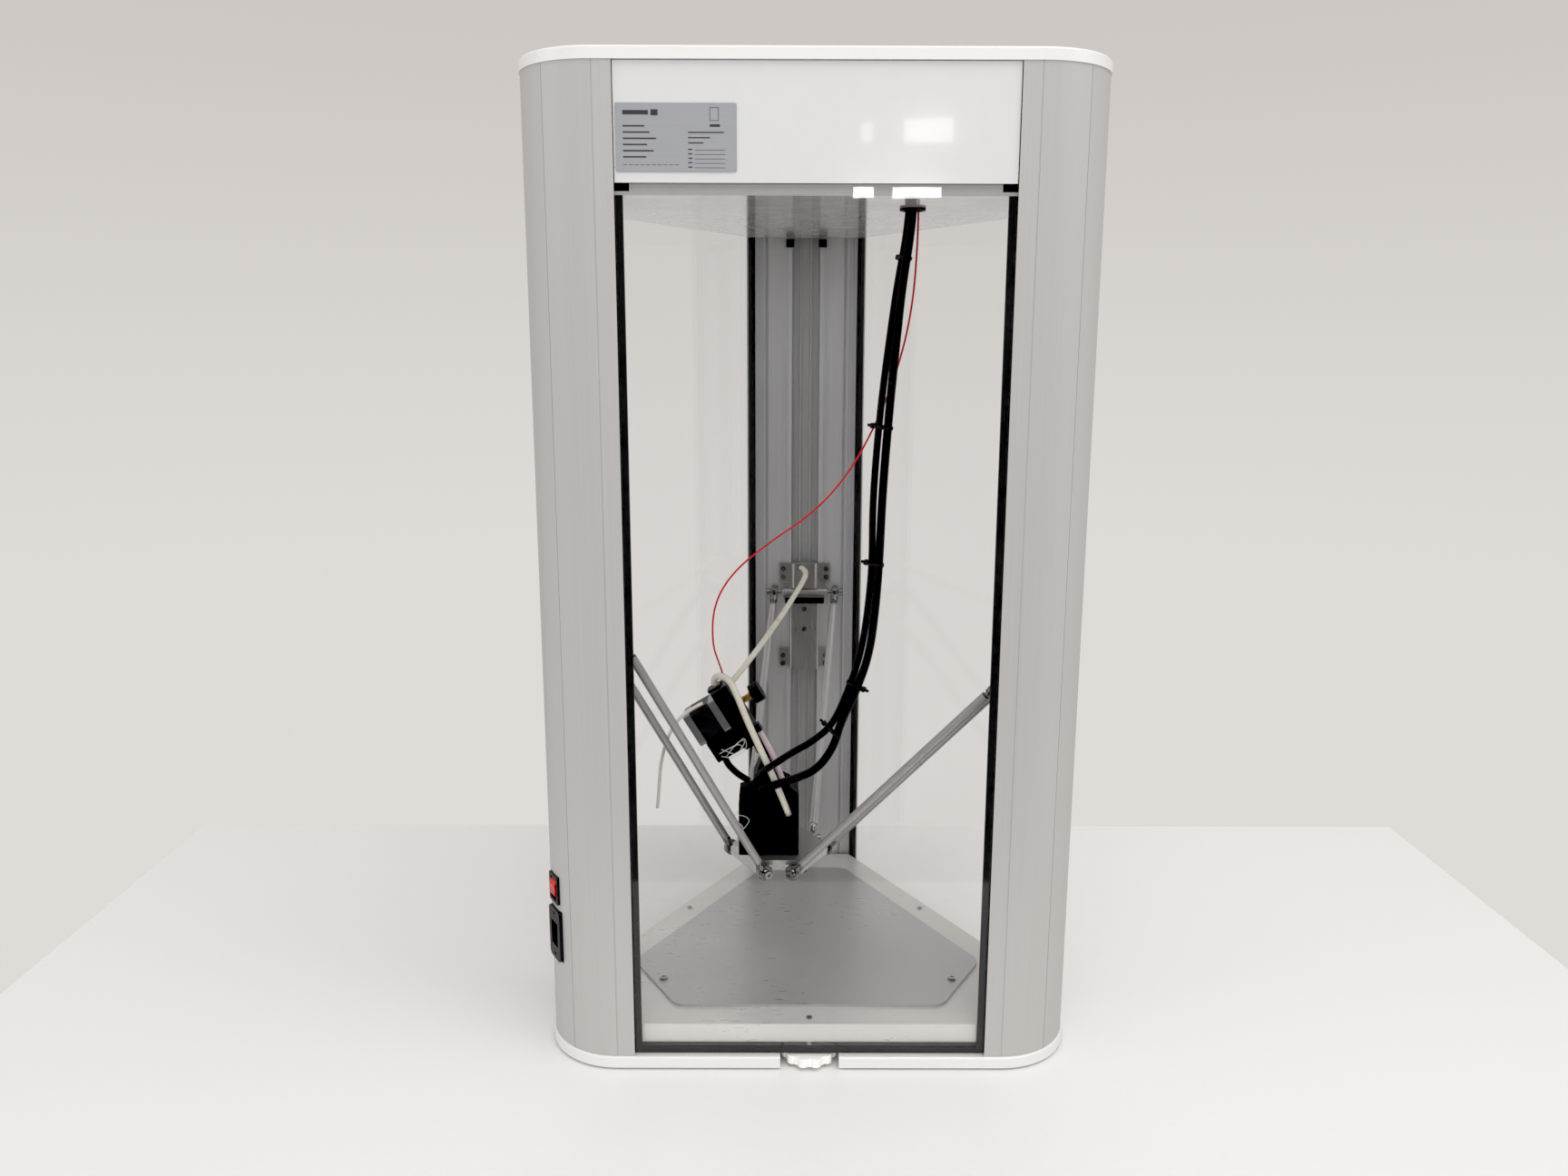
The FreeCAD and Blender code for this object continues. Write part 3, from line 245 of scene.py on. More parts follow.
ANODISED = finish("anodised_silver", (0.49, 0.485, 0.475), 0.46, grain=(900, 900, 4), shade=0.025,
                  spread=0.05, bump=0.05, depth=0.00005, cloud=3.0, cloud_shade=0.02, Metallic=0.15)
INNER = finish("inner_column_silver", (0.60, 0.60, 0.61), 0.38, grain=(700, 700, 6), shade=0.05, spread=0.06,
               bump=0.08, depth=0.00005, cloud=9.0, cloud_shade=0.05, Metallic=0.4)
WHITE = finish("white_lacquer", (0.75, 0.75, 0.74), 0.32, grain=(500, 500, 500), shade=0.01, spread=0.04,
               bump=0.06, depth=0.00008, cloud=4.0, cloud_shade=0.01, Coat_Weight=0.25, Coat_Roughness=0.15)
PANEL = finish("white_gloss_panel", (0.66, 0.667, 0.675), 0.10, grain=(60, 60, 60), shade=0.006, spread=0.02,
               bump=0.02, depth=0.0001, cloud=6.0, cloud_shade=0.01, Coat_Weight=0.6, Coat_Roughness=0.03)
CEILING = finish("ceiling_gloss", (0.72, 0.71, 0.705), 0.14, grain=(30, 30, 30), shade=0.03, spread=0.06,
                 bump=0.05, depth=0.0002, cloud=20.0, cloud_shade=0.10, Coat_Weight=0.5, Coat_Roughness=0.05)
LIP = finish("ceiling_lip", (0.40, 0.385, 0.375), 0.30, grain=(60, 60, 60), shade=0.02, spread=0.04,
             bump=0.03)
PLATE_GREY = finish("label_grey", (0.42, 0.43, 0.46), 0.42, grain=(20, 500, 900), shade=0.03, spread=0.05,
                    bump=0.04, depth=0.00003, Metallic=0.3)
MARKS = finish("label_print", (0.05, 0.05, 0.055), 0.5, bump=0.05)
CLEAR = pane_material()
RUBBER = finish("black_rubber", (0.012, 0.012, 0.013), 0.62, grain=(300, 300, 300), shade=0.3, spread=0.1,
                bump=0.25, depth=0.0001, cloud=20.0, cloud_shade=0.05, Specular_IOR_Level=0.35)
TRAY = finish("tray_aluminium", (0.72, 0.705, 0.69), 0.32, grain=(60, 300, 300), shade=0.02, spread=0.05,
              bump=0.06, depth=0.00005, cloud=9.0, cloud_shade=0.04, Metallic=0.3)
BED = finish("bed_aluminium", (0.53, 0.525, 0.53), 0.36, grain=(60, 300, 300), shade=0.025, spread=0.10,
             bump=0.08, depth=0.00006, cloud=7.0, cloud_shade=0.06, Metallic=0.6)
STEEL = finish("bright_steel", (0.46, 0.46, 0.455), 0.20, grain=(400, 400, 400), shade=0.08, spread=0.06,
               bump=0.06, depth=0.00004, cloud=60.0, cloud_shade=0.08, Metallic=1.0)
MACHINED = finish("machined_aluminium", (0.60, 0.595, 0.585), 0.34, grain=(700, 700, 60), shade=0.06,
                  spread=0.08, bump=0.10, depth=0.00005, cloud=30.0, cloud_shade=0.08,
                  worn=(0.0008, (0.8, 0.8, 0.79)), Metallic=0.9)
TUBE = finish("rod_aluminium", (0.44, 0.435, 0.43), 0.34, grain=(300, 300, 300), shade=0.03, spread=0.05,
              bump=0.03, depth=0.00003, cloud=25.0, cloud_shade=0.03, Metallic=0.5)
WHEEL = finish("ivory_plastic", (0.92, 0.915, 0.90), 0.38, grain=(400, 400, 400), shade=0.02, spread=0.05,
               bump=0.08, depth=0.00008, worn=(0.0008, (0.93, 0.92, 0.90)))
BLACK = finish("black_plastic", (0.006, 0.006, 0.008), 0.42, grain=(300, 300, 900), shade=0.3, spread=0.10,
               bump=0.2, depth=0.00008, cloud=30.0, cloud_shade=0.05, worn=(0.0006, (0.03, 0.03, 0.034)),
               Specular_IOR_Level=0.3)
MATT = finish("matt_black_cover", (0.005, 0.005, 0.0065), 0.6, grain=(300, 300, 300), shade=0.3, spread=0.1,
              bump=0.2, depth=0.00008, Specular_IOR_Level=0.1)
STACK = finish("motor_black", (0.014, 0.014, 0.016), 0.42, grain=(2500, 60, 60), shade=0.35, spread=0.1,
               bump=0.3, depth=0.0001, Metallic=0.3)
BELL = finish("motor_end_grey", (0.40, 0.40, 0.41), 0.34, grain=(500, 500, 500), shade=0.05, spread=0.08,
              bump=0.1, depth=0.00006, Metallic=0.9)
BELT = finish("belt_grey", (0.30, 0.295, 0.28), 0.55, grain=(300, 300, 300), shade=0.15, spread=0.08,
              bump=0.2, depth=0.0001)
RED = finish("red_rocker", (0.55, 0.012, 0.010), 0.22, grain=(200, 200, 200), shade=0.05, spread=0.04,
             bump=0.03)
ROD_END = finish("rod_end_steel", (0.30, 0.30, 0.30), 0.24, grain=(400, 400, 400), shade=0.08, spread=0.06,
                 bump=0.06, depth=0.00004, worn=(0.0005, (0.62, 0.62, 0.61)), Metallic=1.0)
BRASS = finish("brass", (0.62, 0.40, 0.13), 0.28, grain=(400, 400, 400), shade=0.08, spread=0.08,
               bump=0.08, depth=0.00005, Metallic=1.0)
BOARD = finish("circuit_green", (0.02, 0.13, 0.06), 0.35, grain=(250, 250, 250), shade=0.25,
               spread=0.08, bump=0.1)
CASE = finish("galvanised_case", (0.55, 0.56, 0.57), 0.35, grain=(60, 60, 60), shade=0.10, spread=0.08,
              bump=0.05, Metallic=0.9)
MILKY = finish("milky_tube", (0.70, 0.68, 0.60), 0.30, grain=(150, 150, 150), shade=0.04, spread=0.05,
               bump=0.05, cloud=20.0, cloud_shade=0.05, Subsurface_Weight=0.3, Subsurface_Scale=0.004)
TEETH = finish("belt_teeth", (0.72, 0.71, 0.68), 0.5, grain=(300, 300, 300), shade=0.1, spread=0.06, bump=0.1)
PINK = finish("guide_tube_milky", (0.66, 0.55, 0.58), 0.26, grain=(150, 150, 150), shade=0.04, spread=0.05,
              bump=0.04, cloud=60.0, cloud_shade=0.05, Subsurface_Weight=0.3, Subsurface_Scale=0.004)
THIN = finish("thin_clear_tube", (0.74, 0.74, 0.71), 0.28, grain=(150, 150, 150), shade=0.03, spread=0.05,
              bump=0.04, Subsurface_Weight=0.3, Subsurface_Scale=0.003)
FILAMENT = finish("red_filament", (0.62, 0.015, 0.025), 0.30, grain=(150, 150, 150), shade=0.08, spread=0.06,
                  bump=0.05)
SLEEVE = braid("black_sleeve", (0.006, 0.006, 0.008), 9, 0.006)


# ---------------------------------------------------------------- meshes
def piece(name, bm, material, body=None, smooth=False):
    mesh = bpy.data.meshes.new(name)
    bm.normal_update()
    bm.to_mesh(mesh)
    bm.free()
    for polygon in mesh.polygons:
        polygon.use_smooth = smooth
    obj = bpy.data.objects.new(name, mesh)
    bpy.context.scene.collection.objects.link(obj)
    mesh.materials.append(material)
    if body:
        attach(obj, body)
    return obj


def add_box(bm, low, high, matrix):
    corners = [bm.verts.new(matrix @ Vector((x, y, z)))
               for x in (low[0], high[0]) for y in (low[1], high[1]) for z in (low[2], high[2])]
    for face in ((0, 1, 3, 2), (4, 6, 7, 5), (0, 4, 5, 1), (2, 3, 7, 6), (0, 2, 6, 4), (1, 5, 7, 3)):
        bm.faces.new([corners[i] for i in face])


def route(points):
    """The line of a smooth spline with these control points, in millimetres about the print axis."""
    curve = bpy.data.curves.new("route", "CURVE")
    curve.dimensions = "3D"
    spline = curve.splines.new("NURBS")
    spline.points.add(len(points) - 1)
    for knot, point in zip(spline.points, points):
        knot.co = (*at(*point), 1.0)
    spline.order_u = 3
    spline.use_endpoint_u = True
    curve.resolution_u = 14
    obj = bpy.data.objects.new("route", curve)
    mesh = bpy.data.meshes.new_from_object(obj)
    line = [v.co.copy() for v in mesh.vertices]
    bpy.data.meshes.remove(mesh)
    bpy.data.objects.remove(obj)
    bpy.data.curves.remove(curve)
    return line


def frames(line):
    """A tangent and two sides at each point of a line, turning as little as they can."""
    tangents = []
    for i in range(len(line)):
        ahead = line[min(i + 1, len(line) - 1)] - line[max(i - 1, 0)]
        tangents.append(ahead.normalized())
    side = tangents[0].cross(Vector((0, 1, 0.3))).normalized()
    found = []
    for tangent in tangents:
        side = (side - tangent * side.dot(tangent)).normalized()
        found.append((tangent, side, tangent.cross(side)))
    return found


def tube(name, line, radii, material, sides=16):
    """A round tube with end caps and UVs: u once round, v metres along."""
    bm = bmesh.new()
    uv = bm.loops.layers.uv.new("UVMap")
    along = [0.0]
    for a, b in zip(line, line[1:]):
        along.append(along[-1] + (b - a).length)
    rings = []
    for i, (point, (_, side, other)) in enumerate(zip(line, frames(line))):
        share = along[i] / along[-1]
        radius = radii[0] + (radii[1] - radii[0]) * share
        rings.append([bm.verts.new(point + (side * math.cos(a) + other * math.sin(a)) * radius)
                      for a in (2 * math.pi * k / sides for k in range(sides))])
    for i in range(len(rings) - 1):
        for k in range(sides):
            j = (k + 1) % sides
            face = bm.faces.new((rings[i][k], rings[i][j], rings[i + 1][j], rings[i + 1][k]))
            face.smooth = True
            spots = ((k, i), (k + 1, i), (k + 1, i + 1), (k, i + 1))
            for loop, (u, v) in zip(face.loops, spots):
                loop[uv].uv = (u / sides, along[v])
    bm.faces.new(list(reversed(rings[0])))
    bm.faces.new(rings[-1])
    return piece(name, bm, material, None, True)


def long_of(line):
    return sum((b - a).length for a, b in zip(line, line[1:]))


def split_at(line, height):
    """The index where a line that runs downwards passes a height in millimetres."""
    return next(i for i, point in enumerate(line) if point.z < height * 0.001)


def level(z):
    return Vector((0, 0, z * 0.001))


# ---------------------------------------------------------------- cords
CABLE_A = [(85, -71.6, 850), (85, -71.6, 800), (82.4, -71.6, 748), (74.4, -70.4, 702), (68.2, -68.4, 650),
           (62.8, -65, 600), (59.0, -60.2, 545), (57.3, -54.8, 497), (58.4, -50, 448), (55, -46.5, 400),
           (49.5, -44, 360), (38.5, -42, 324), (23.5, -40.6, 287), (2.5, -41.2, 269.5), (-14.5, -43.8, 261),
           (-31, -44.6, 250), (-43.5, -39, 239.5), (-51, -27, 229)]
CABLE_B = [(87.2, -79.4, 850), (87.2, -79.4, 800), (85.0, -79.4, 748), (78.2, -77.8, 702), (74.0, -74.8, 650),
           (70.3, -70.4, 600), (67, -64.8, 545), (65.4, -57.8, 497), (64.4, -54.8, 448), (61.4, -53, 400),
           (56.8, -50.6, 360), (45.4, -48.4, 324), (31, -45.4, 292), (24.5, -42.6, 265), (8.5, -42.4, 242),
           (-13, -42.8, 232.5), (-33, -43, 226.5), (-45.5, -30, 216)]
FEED = [(-93.6, -2, 317.1), (-94.2, -4.2, 323.4), (-88, -10, 328.6), (-77.5, -18.5, 326), (-69.7, -26, 312),
        (-60, -31, 288), (-45.3, -31.8, 255), (-32.6, -31.6, 226), (-18.7, -30.5, 190)]
GUIDE = [(-48.5, -11, 271), (-44, -12, 263.8), (-39.5, -13.5, 256), (-34.6, -14.9, 245.5),
         (-30.2, -15.3, 234), (-25.8, -15, 222.6)]
LOOSE = [(-104.8, -12, 300.3), (-124, -20, 293), (-139, -24, 270), (-146, -26, 243), (-148, -27, 216),
         (-150, -27, 196)]
HANGER = [(-4.5, 208.2, 396.5), (-1.5, 201, 396.5), (1.5, 194, 392), (-1.5, 184, 386.5), (-9, 166, 377.5),
          (-26, 122, 359.5), (-46, 66, 343), (-65, 22, 327.5), (-76.5, 4, 317.6)]
STRAND = [(92.6, -57.4, 850), (93, -57.2, 792), (93, -56.4, 733), (89.5, -54, 678), (78, -50, 626),
          (60, -45, 578), (36, -41, 532), (4, -39, 495), (-36, -37, 468), (-73, -31, 437), (-92.5, -23, 403),
          (-95, -10, 360), (-88, 5, 334), (-84.2, 9, 319.6)]
# heights in millimetres along the other cords; each cord is cut into two pieces where it passes its split
# height
CEILING_Z = 765.0
FILAMENT_SPLIT_Z = 370.0
SPLIT_Z = 329.0
FILAMENT_END_Z = 330
# distances behind the print axis along the hanger tube; it is cut into two pieces where it passes the split
# distance
HANGER_REAR_Y, HANGER_SPLIT_Y, HANGER_FRONT_Y = 195, 112, 20

TIE_HEIGHTS = (725, 577, 447, 329, 282.5)
TIE_TURNS = (180, 180, 180, -20, 170)
TIES_ABOVE_SPLIT = 4
TIE_STEPS = 32
TIE_GRIPS = (0.0037, 0.0042)
LOCK_OFFSET = 0.0042


def declared(line, diameter, node, extras=(), far="object"):
    tuple(line[0])
    round(long_of(line), 3)
    [tuple(p) for p in line]
    list(extras)
    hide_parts(node)


line_a, line_b = route(CABLE_A), route(CABLE_B)


def nearest_on(line, z):
    return min(range(len(line)), key=lambda i: abs(line[i].z - z * 0.001))


def cable_tie(name, z, lock_turn):
    """A strap round both strands with its lock block and the cut end."""
    ia, ib = nearest_on(line_a, z), nearest_on(line_b, z)
    middle = (line_a[ia] + line_b[ib]) / 2
    tangent, _, _ = frames(line_a)[ia]
    across = line_b[ib] - line_a[ia]
    across = (across - tangent * across.dot(tangent))
    half = across.length / 2
    across.normalize()
    over = tangent.cross(across)
    outline = []
    for k in range(TIE_STEPS):
        a = 2 * math.pi * k / TIE_STEPS
        grip = TIE_GRIPS[1] if math.cos(a) > 0 else TIE_GRIPS[0]
        shift = half * (1 if math.cos(a) > 0 else -1) * min(1.0, abs(math.cos(a)) * 3)
        outline.append((across * (shift + grip * math.cos(a)), over * grip * math.sin(a)))
    bm = bmesh.new()
    rings = []
    strap = ((-0.0004, -0.0014), (0.0007, -0.0014), (0.0007, 0.0014), (-0.0004, 0.0014))
    for x, y in outline:
        base = middle + x + y
        out = (x + y).normalized()
        rings.append([bm.verts.new(base + out * r + tangent * w) for r, w in strap])
    for k in range(TIE_STEPS):
        n = (k + 1) % TIE_STEPS
        for c in range(4):
            d = (c + 1) % 4
            bm.faces.new((rings[k][c], rings[n][c], rings[n][d], rings[k][d]))
    turn = math.radians(lock_turn)
    out = across * math.cos(turn) + over * math.sin(turn)
    side = tangent.cross(out)
    facing = Matrix((out, side, tangent)).transposed().to_4x4()
    foot = middle + out * (half * abs(math.cos(turn)) + LOCK_OFFSET)
    place = Matrix.Translation(foot) @ facing @ TO_METRES
    add_box(bm, (0.0, -2.4, -2.3), (3.6, 2.4, 2.3), place)
    add_box(bm, (3.0, -1.0, -1.3), (7.2, 0.0, 1.3), place)
    return piece(name, bm, RUBBER, None, False)


ties = [cable_tie("cable_tie_%d" % (n + 1), z, turn)
        for n, (z, turn) in enumerate(zip(TIE_HEIGHTS, TIE_TURNS))]
upper_ties, lower_ties = ties[:TIES_ABOVE_SPLIT], ties[TIES_ABOVE_SPLIT:]
for label, line, radii, diameter in (("a", line_a, (0.0031, 0.0035), 0.0066),
                                     ("b", line_b, (0.0037, 0.0041), 0.0077)):
    cutoff = split_at(line, SPLIT_Z)
    upper, lower = line[:cutoff + 1], line[cutoff:]
    middle_radius = radii[0] + (radii[1] - radii[0]) * long_of(upper) / long_of(line)
    top = tube("cable_%s_upper" % label, upper, (radii[0], middle_radius), SLEEVE)
    end = tube("cable_%s_lower" % label, lower, (middle_radius, radii[1]), SLEEVE)
    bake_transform(top)
    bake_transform(end)
    declared(upper, diameter, "cable_trunk", upper_ties if label == "a" else ())
    declared(lower, diameter, "cable_trunk", lower_ties if label == "a" else ())
for tie in ties:
    if tie in upper_ties:
        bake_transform(tie)
    else:
        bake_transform(tie)
    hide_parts("cable_ties")

red = route(STRAND)
cutoff = split_at(red, FILAMENT_SPLIT_Z)
for name, part, bodies, span in (
        ("filament_upper", red[:cutoff + 1], ("frame", "carriage_left"), (CEILING_Z, FILAMENT_SPLIT_Z)),
        ("filament_lower", red[cutoff:], ("carriage_left", "effector"), (FILAMENT_SPLIT_Z, FILAMENT_END_Z))):
    obj = tube(name, part, (0.000875, 0.000875), FILAMENT, 10)
    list(bodies)
    level(span[0])
    level(span[1])
    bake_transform(obj)
    declared(part, 0.00175, "filament_strand")

hanger = route(HANGER)
cutoff = next(i for i, point in enumerate(hanger) if point.y < at(0, HANGER_SPLIT_Y, 0).y)
for name, part, bodies, span in (
        ("hanger_tube_rear", hanger[:cutoff + 1], ("carriage_rear", "carriage_left"),
         (HANGER_REAR_Y, HANGER_SPLIT_Y)),
        ("hanger_tube_front", hanger[cutoff:], ("carriage_left", "effector"),
         (HANGER_SPLIT_Y, HANGER_FRONT_Y))):
    obj = tube(name, part, (0.0030, 0.0030), MILKY)
    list(bodies)
    at(0, span[0], 0)
    at(0, span[1], 0)
    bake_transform(obj)
    declared(part, 0.006, "hanger_tube")

for name, points, radius, material, far in (("feed_tube_loop", FEED, 0.0033, MILKY, "object"),
                                            ("guide_tube", GUIDE, 0.0030, PINK, "object"),
                                            ("loose_tube", LOOSE, 0.0016, THIN, "bare")):
    part = route(points)
    obj = tube(name, part, (radius, radius), material)
    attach(obj, "effector")
    declared(part, 2 * radius, "feed_tube", (), far)


# ---------------------------------------------------------------- leads
# thin pale leads that stand out in small loops from the motor and from the cover's left side
LEAD_RADIUS = 0.00035
MOTOR_LEADS = (
    ((-88, -20, 250), (-80, -23, 256), (-70, -23, 261), (-63, -21, 269), (-60, -21, 257),
     (-68, -22.5, 249), (-77, -22.5, 252), (-86, -21, 255)),
    ((-86, -19, 247), (-81, -23, 247.5), (-72, -23, 247), (-64, -22, 255), (-68, -22.5, 263),
     (-78, -22, 256)),
    ((-82, -20, 246), (-75, -22, 257), (-66, -22, 266), (-61, -21, 263), (-70, -22, 251)))
COVER_LEADS = (
    ((-69, -34, 191), (-69.5, -39, 193), (-64, -40.5, 193.5), (-57, -40, 189), (-61, -39.5, 182),
     (-66, -39, 176), (-61.5, -39, 172)),
    ((-69, -33, 194), (-73, -35, 193), (-72, -39, 187), (-66, -40, 184), (-63, -39.5, 178),
     (-67, -39, 172)))
for label, leads in (("motor_lead", MOTOR_LEADS), ("cover_lead", COVER_LEADS)):
    for n, points in enumerate(leads):
        obj = tube("%s_%d" % (label, n + 1), route(points), (LEAD_RADIUS, LEAD_RADIUS), THIN, 8)
        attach(obj, "effector")


# ---------------------------------------------------------------- materials of the CAD nodes
def dress(material, *names):
    for name in names:
        mesh = NODES[name].data
        mesh.materials.clear()
        mesh.materials.append(material)


def dress_by(name, materials, choose):
    """Give each face of a node one of several materials.

    choose is given the face's middle, about the print axis in millimetres, and returns the material's index.
    """
    mesh = NODES[name].data
    mesh.materials.clear()
    for material in materials:
        mesh.materials.append(material)
    for polygon in mesh.polygons:
        c = polygon.center * 1000
        polygon.material_index = choose(Vector((c.x, c.y - AXIS_Y, c.z)))


dress(WHITE, "base_plate", "top_cap")
dress(RUBBER, "feet", "pane_seals", "cable_grommet", "rail_stops")
dress(ANODISED, "column_covers")
dress(PANEL, "header_panels")
dress(PLATE_GREY, "data_plate")
dress(CLEAR, "pane_front", "side_panes")
dress(TRAY, "bed_tray")
dress(BED, "bed_plate")
dress(STEEL, "bed_screws", "effector_bolts", *["carriage_bolts_" + t for t in TOWERS])
dress(WHEEL, *["levelling_wheel_" + s for s in SIDES])
dress(BELT, "tower_belts")
dress(STEEL, *["drive_pulley_" + t for t in TOWERS], *["idler_" + t for t in TOWERS])
dress(MACHINED, "effector_plate", *["carriage_" + t for t in TOWERS])
dress(CASE, "power_supply")
dress(BOARD, "control_board")
dress(BLACK, "power_inlet", "switch_bezel", "fan_rotor", "extruder_body")
dress(MATT, "hotend_shroud")
dress(RED, "rocker_switch")
dress(STEEL, "hotend", "drive_gear")

# a column's corner is round about a line this far from the print axis; nearer than the radius to that line,
# and short of the depth, lie the faces of its inner wall, rails and channel
CORNER_DISTANCE = 202.07
INNER_RADIUS = 64
INNER_DEPTH = 240
# faces of the ceiling plate above this height belong to its lip
LIP_Z = 765.3


def column_face(turn):
    """A chooser for dress_by: 1 for a column's inner faces, 0 for its outer ones."""
    local = Matrix.Rotation(math.radians(-turn), 4, "Z")

    def choose(c):
        p = local @ c
        inner = p.y < INNER_DEPTH and math.hypot(p.x, p.y - CORNER_DISTANCE) < INNER_RADIUS
        return 1 if inner else 0
    return choose


for t, turn in TOWERS.items():
    dress_by("column_" + t, [ANODISED, INNER], column_face(turn))
dress(STACK, "tower_motors")
dress_by("ceiling_plate", [CEILING, LIP], lambda c: 1 if c.z > LIP_Z else 0)

# the bare tube of a rod runs between these distances from its lower and its upper end, in metres
ROD_END_LOW, ROD_END_HIGH = 0.024, 0.026
for t, turn in TOWERS.items():
    for side in "ab":
        name = "rod_%s_%s" % (t, side)
        points = [v.co for v in NODES[name].data.vertices]
        top = max(points, key=lambda p: p.z)
        bottom = min(points, key=lambda p: p.z)
        axis = (top - bottom).normalized()
        length = (top - bottom).length
        dress_by(name, [TUBE, ROD_END], lambda c, b=bottom, x=axis, n=length: 0 if
                 ROD_END_LOW < (at(*c) - b).dot(x) < n - ROD_END_HIGH else 1)

# the extruder motor's own frame: x along its tilted shaft, in millimetres
TILT = math.radians(31.3)
FEEDER = Matrix.Translation(at(-84.5, 2.0, 289.5)) @ Matrix.Rotation(-TILT, 4, "Y") @ TO_METRES
TO_FEEDER = FEEDER.inverted()
MOTOR_STACK_X = (-28.9, -7.7)
KNOB_BRASS_X = 30.9


def feeder_x(c):
    return (TO_FEEDER @ at(*c)).x


dress_by("extruder_motor", [STACK, BELL],
         lambda c: 0 if MOTOR_STACK_X[0] < feeder_x(c) < MOTOR_STACK_X[1] else 1)
dress_by("tension_knob", [BLACK, BRASS], lambda c: 0 if feeder_x(c) > KNOB_BRASS_X else 1)

# ---------------------------------------------------------------- belt teeth
TEETH_A_RUN = 384
TOOTH_PITCH = 2.0
FIRST_TOOTH_Z = 39.0
TOOTH_X = (5.25, 6.0)
TOOTH_Y = (225.4, 230.6)
bm = bmesh.new()
for turn in TOWERS.values():
    place = tower_matrix(turn)
    for side in (-1, 1):
        x0, x1 = sorted((side * TOOTH_X[0], side * TOOTH_X[1]))
        for n in range(TEETH_A_RUN):
            z = FIRST_TOOTH_Z + TOOTH_PITCH * n
            add_box(bm, (x0, TOOTH_Y[0], z), (x1, TOOTH_Y[1], z + TOOTH_PITCH / 2), place)
piece("belt_teeth", bm, TEETH, "frame")

# ---------------------------------------------------------------- ribbed clamp bars on the carriages
CARRIAGE_Z = {"rear": 367.167, "left": 394.619, "right": 357.640}
for t, turn in TOWERS.items():
    place = tower_matrix(turn)
    z = CARRIAGE_Z[t]
    bm = bmesh.new()
    add_box(bm, (-22.7, 206.0, z - 12.7), (22.7, 208.0, z - 5.8), place)
    for n in range(22):
        x = -22.0 + 2.0 * n
        add_box(bm, (x, 205.3, z - 12.9), (x + 1.1, 206.4, z - 5.6), place)
    piece("clamp_bar_" + t, bm, STACK, "carriage_" + t)

# ---------------------------------------------------------------- plain marks on the data plate
MARK_Y = (-167.32, -167.18)
bm = bmesh.new()
front = tower_matrix(0.0)


def mark(x, z, wide, high):
    add_box(bm, (x, MARK_Y[0], z), (x + wide, MARK_Y[1], z + high), front)


mark(-151.5, 824.6, 20, 3.2)
mark(-129.5, 824.0, 5.5, 4.4)
for n, wide in enumerate((17, 21, 26, 19, 24, 18)):
    mark(-151.5, 815.6 - 4.6 * n, wide, 1.1)
for n in range(10):
    mark(-151.5 + 4.5 * n, 787.2, 3.0, 0.35)
mark(-83.5, 829.5, 7, 0.35)
mark(-83.5, 820.0, 7, 0.35)
mark(-83.5, 820.0, 0.35, 9.7)
mark(-76.8, 820.0, 0.35, 9.7)
mark(-83.5, 815.6, 8, 1.9)
for n, wide in enumerate((28, 17, 12)):
    mark(-100.5, 811.0 - 3.9 * n, wide, 0.9)
for n in range(5):
    mark(-100.5, 798.4 - 3.3 * n, 3.2, 0.9)
    mark(-95.5, 798.2 - 3.3 * n, 24, 0.3)
piece("data_plate_marks", bm, MARKS, "frame")

# ---------------------------------------------------------------- stage, lights, world
TABLE_COLOUR = finish("table_white", (0.84, 0.83, 0.825), 0.42, grain=(150, 150, 150), shade=0.006,
                      spread=0.05, bump=0.03, cloud=2.0, cloud_shade=0.01)
bm = bmesh.new()
add_box(bm, (-0.820, -0.600, -0.030), (0.812, 0.346, 0.0), Matrix.Identity(4))
table = piece("table", bm, TABLE_COLOUR)


def area(name, place, aim, wide, high, power, colour=(1, 1, 1)):
    data = bpy.data.lights.new(name, "AREA")
    data.shape = "RECTANGLE"
    data.size, data.size_y = wide, high
    data.energy = power
    data.color = colour
    obj = bpy.data.objects.new(name, data)
    obj.location = place
    obj.rotation_mode = "QUATERNION"
    obj.rotation_quaternion = (Vector(aim) - Vector(place)).to_track_quat("-Z", "Y")
    bpy.context.scene.collection.objects.link(obj)
    return obj


area("overhead", (0.7, -1.1, 2.7), (0.15, 0, 0.3), 2.4, 2.2, 34, (1.0, 0.985, 0.97))
area("left_window", (-3.2, -1.2, 1.7), (0, 0, 0.4), 1.6, 1.6, 6)
area("right_window", (3.2, -1.6, 1.9), (0, 0, 0.4), 1.8, 1.6, 5)
area("front_fill", (-0.3, -3.4, 1.0), (0, 0, 0.4), 2.6, 1.8, 34).visible_glossy = False

for n, (x, z, wide, high, power) in enumerate((
        (0.54, 1.47, 0.19, 0.09, 0.30), (0.30, 1.46, 0.045, 0.07, 0.045),
        (0.50, 1.24, 0.19, 0.045, 0.45), (0.29, 1.24, 0.08, 0.045, 0.19))):
    glint = area("glint_%d" % (n + 1), (x, -4.13, z), (-0.03, -1.2, 0.65), wide, high, power)
    glint.visible_diffuse = False
    glint.visible_camera = False

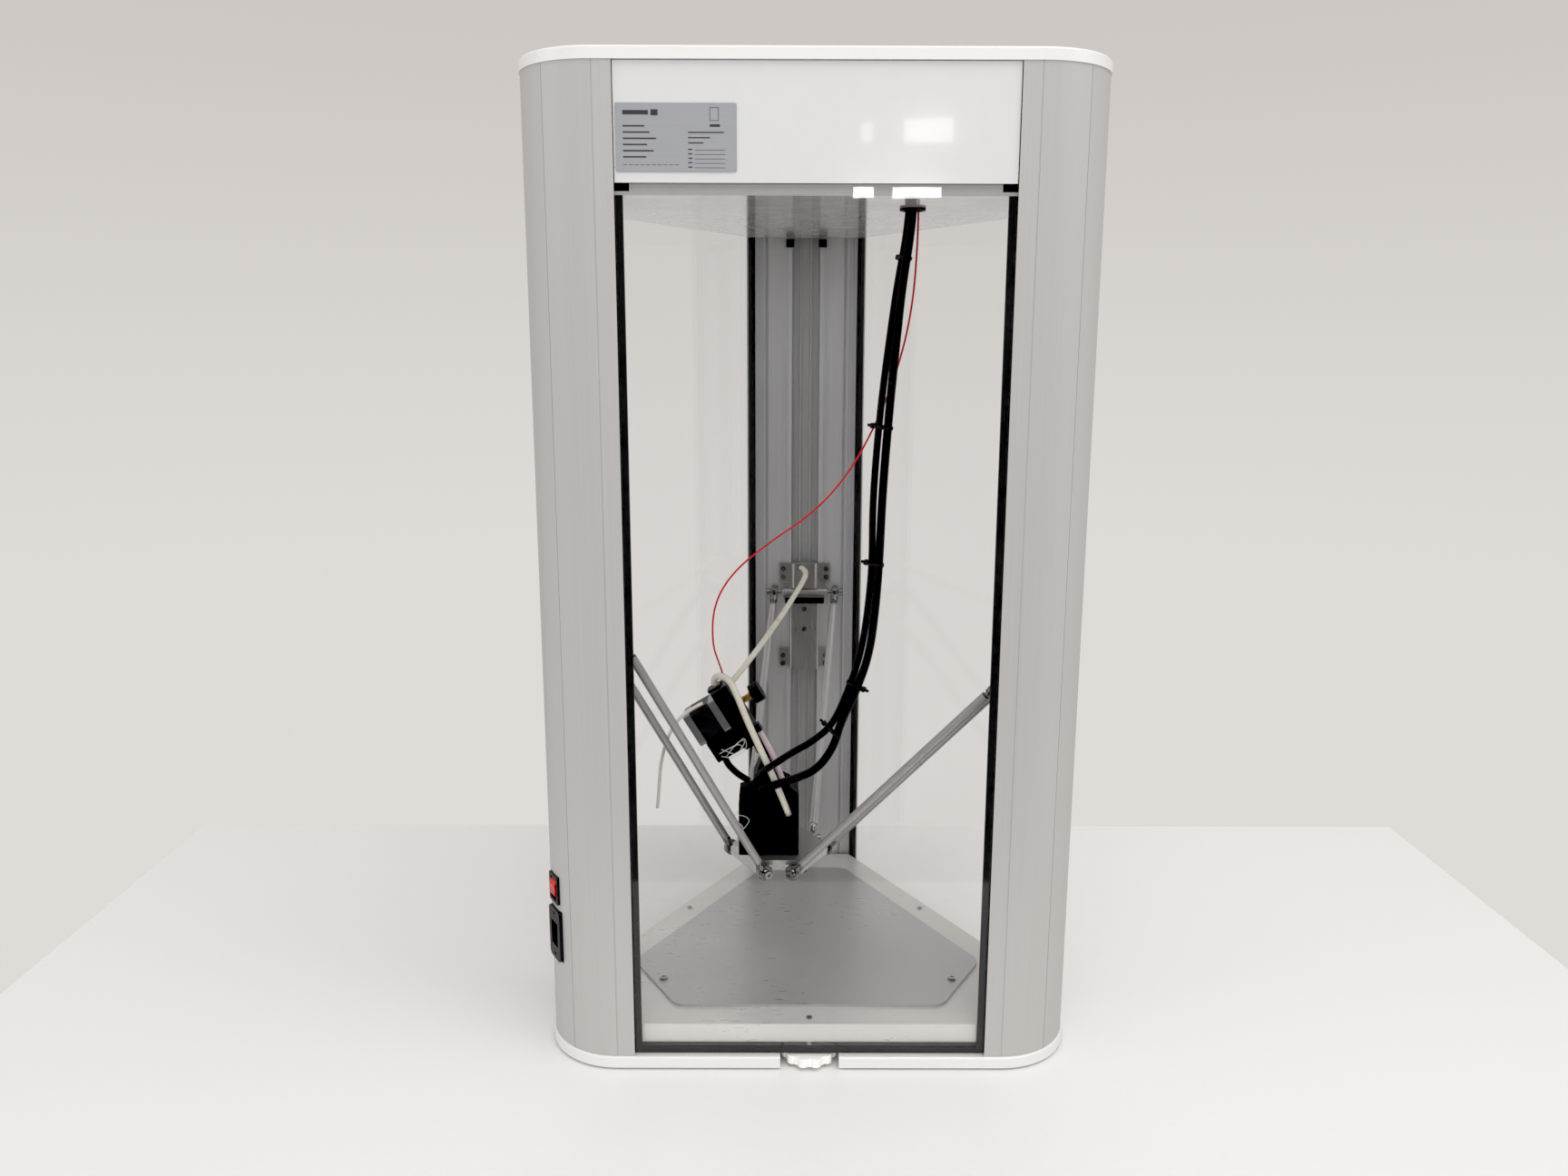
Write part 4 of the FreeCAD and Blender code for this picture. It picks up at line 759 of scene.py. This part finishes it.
# the room: a pale wall for the camera, and for light and reflections a bright room with a dim front
world = bpy.data.worlds.new("room")
bpy.context.scene.world = world
world.use_nodes = True
wn, wl = world.node_tree.nodes, world.node_tree.links
wn.clear()


def world_range(value, low, high, out_low, out_high):
    node = wn.new("ShaderNodeMapRange")
    for key, number in (("From Min", low), ("From Max", high), ("To Min", out_low), ("To Max", out_high)):
        node.inputs[key].default_value = number
    node.interpolation_type = "SMOOTHSTEP"
    wl.new(value, node.inputs["Value"])
    return node.outputs["Result"]


def world_mix(factor, a, b):
    node = wn.new("ShaderNodeMix")
    node.data_type = "RGBA"
    for socket, value in zip([s for s in node.inputs if s.enabled], (factor, a, b)):
        if isinstance(value, tuple):
            socket.default_value = (*value, 1)
        else:
            wl.new(value, socket)
    return [s for s in node.outputs if s.enabled][0]


w_split = wn.new("ShaderNodeSeparateXYZ")
wl.new(wn.new("ShaderNodeTexCoord").outputs["Generated"], w_split.inputs["Vector"])
height = world_range(w_split.outputs["Z"], -0.2, 0.35, 0, 1)
wall = world_mix(height, (0.74, 0.71, 0.685), (0.60, 0.565, 0.54))
to_front = world_range(w_split.outputs["Y"], -0.45, -0.75, 0, 1)
path = wn.new("ShaderNodeLightPath")
sharp = wn.new("ShaderNodeMath")
sharp.operation = "SUBTRACT"
sharp.inputs[0].default_value = 1.0
wl.new(path.outputs["Is Diffuse Ray"], sharp.inputs[1])
dim = wn.new("ShaderNodeMath")
dim.operation = "MULTIPLY"
wl.new(to_front, dim.inputs[0])
wl.new(sharp.outputs["Value"], dim.inputs[1])
room = world_mix(dim.outputs["Value"], (0.68, 0.66, 0.64), (0.05, 0.048, 0.047))
shade = world_mix(path.outputs["Is Camera Ray"], room, wall)
w_back = wn.new("ShaderNodeBackground")
wl.new(shade, w_back.inputs["Color"])
w_out = wn.new("ShaderNodeOutputWorld")
wl.new(w_back.outputs["Background"], w_out.inputs["Surface"])
settings = bpy.context.scene.view_settings
settings.view_transform = "Standard"
settings.use_curve_mapping = True
BLACK_LEVEL = 0.0155
settings.curve_mapping.black_level = (BLACK_LEVEL, BLACK_LEVEL, BLACK_LEVEL)
settings.curve_mapping.update()
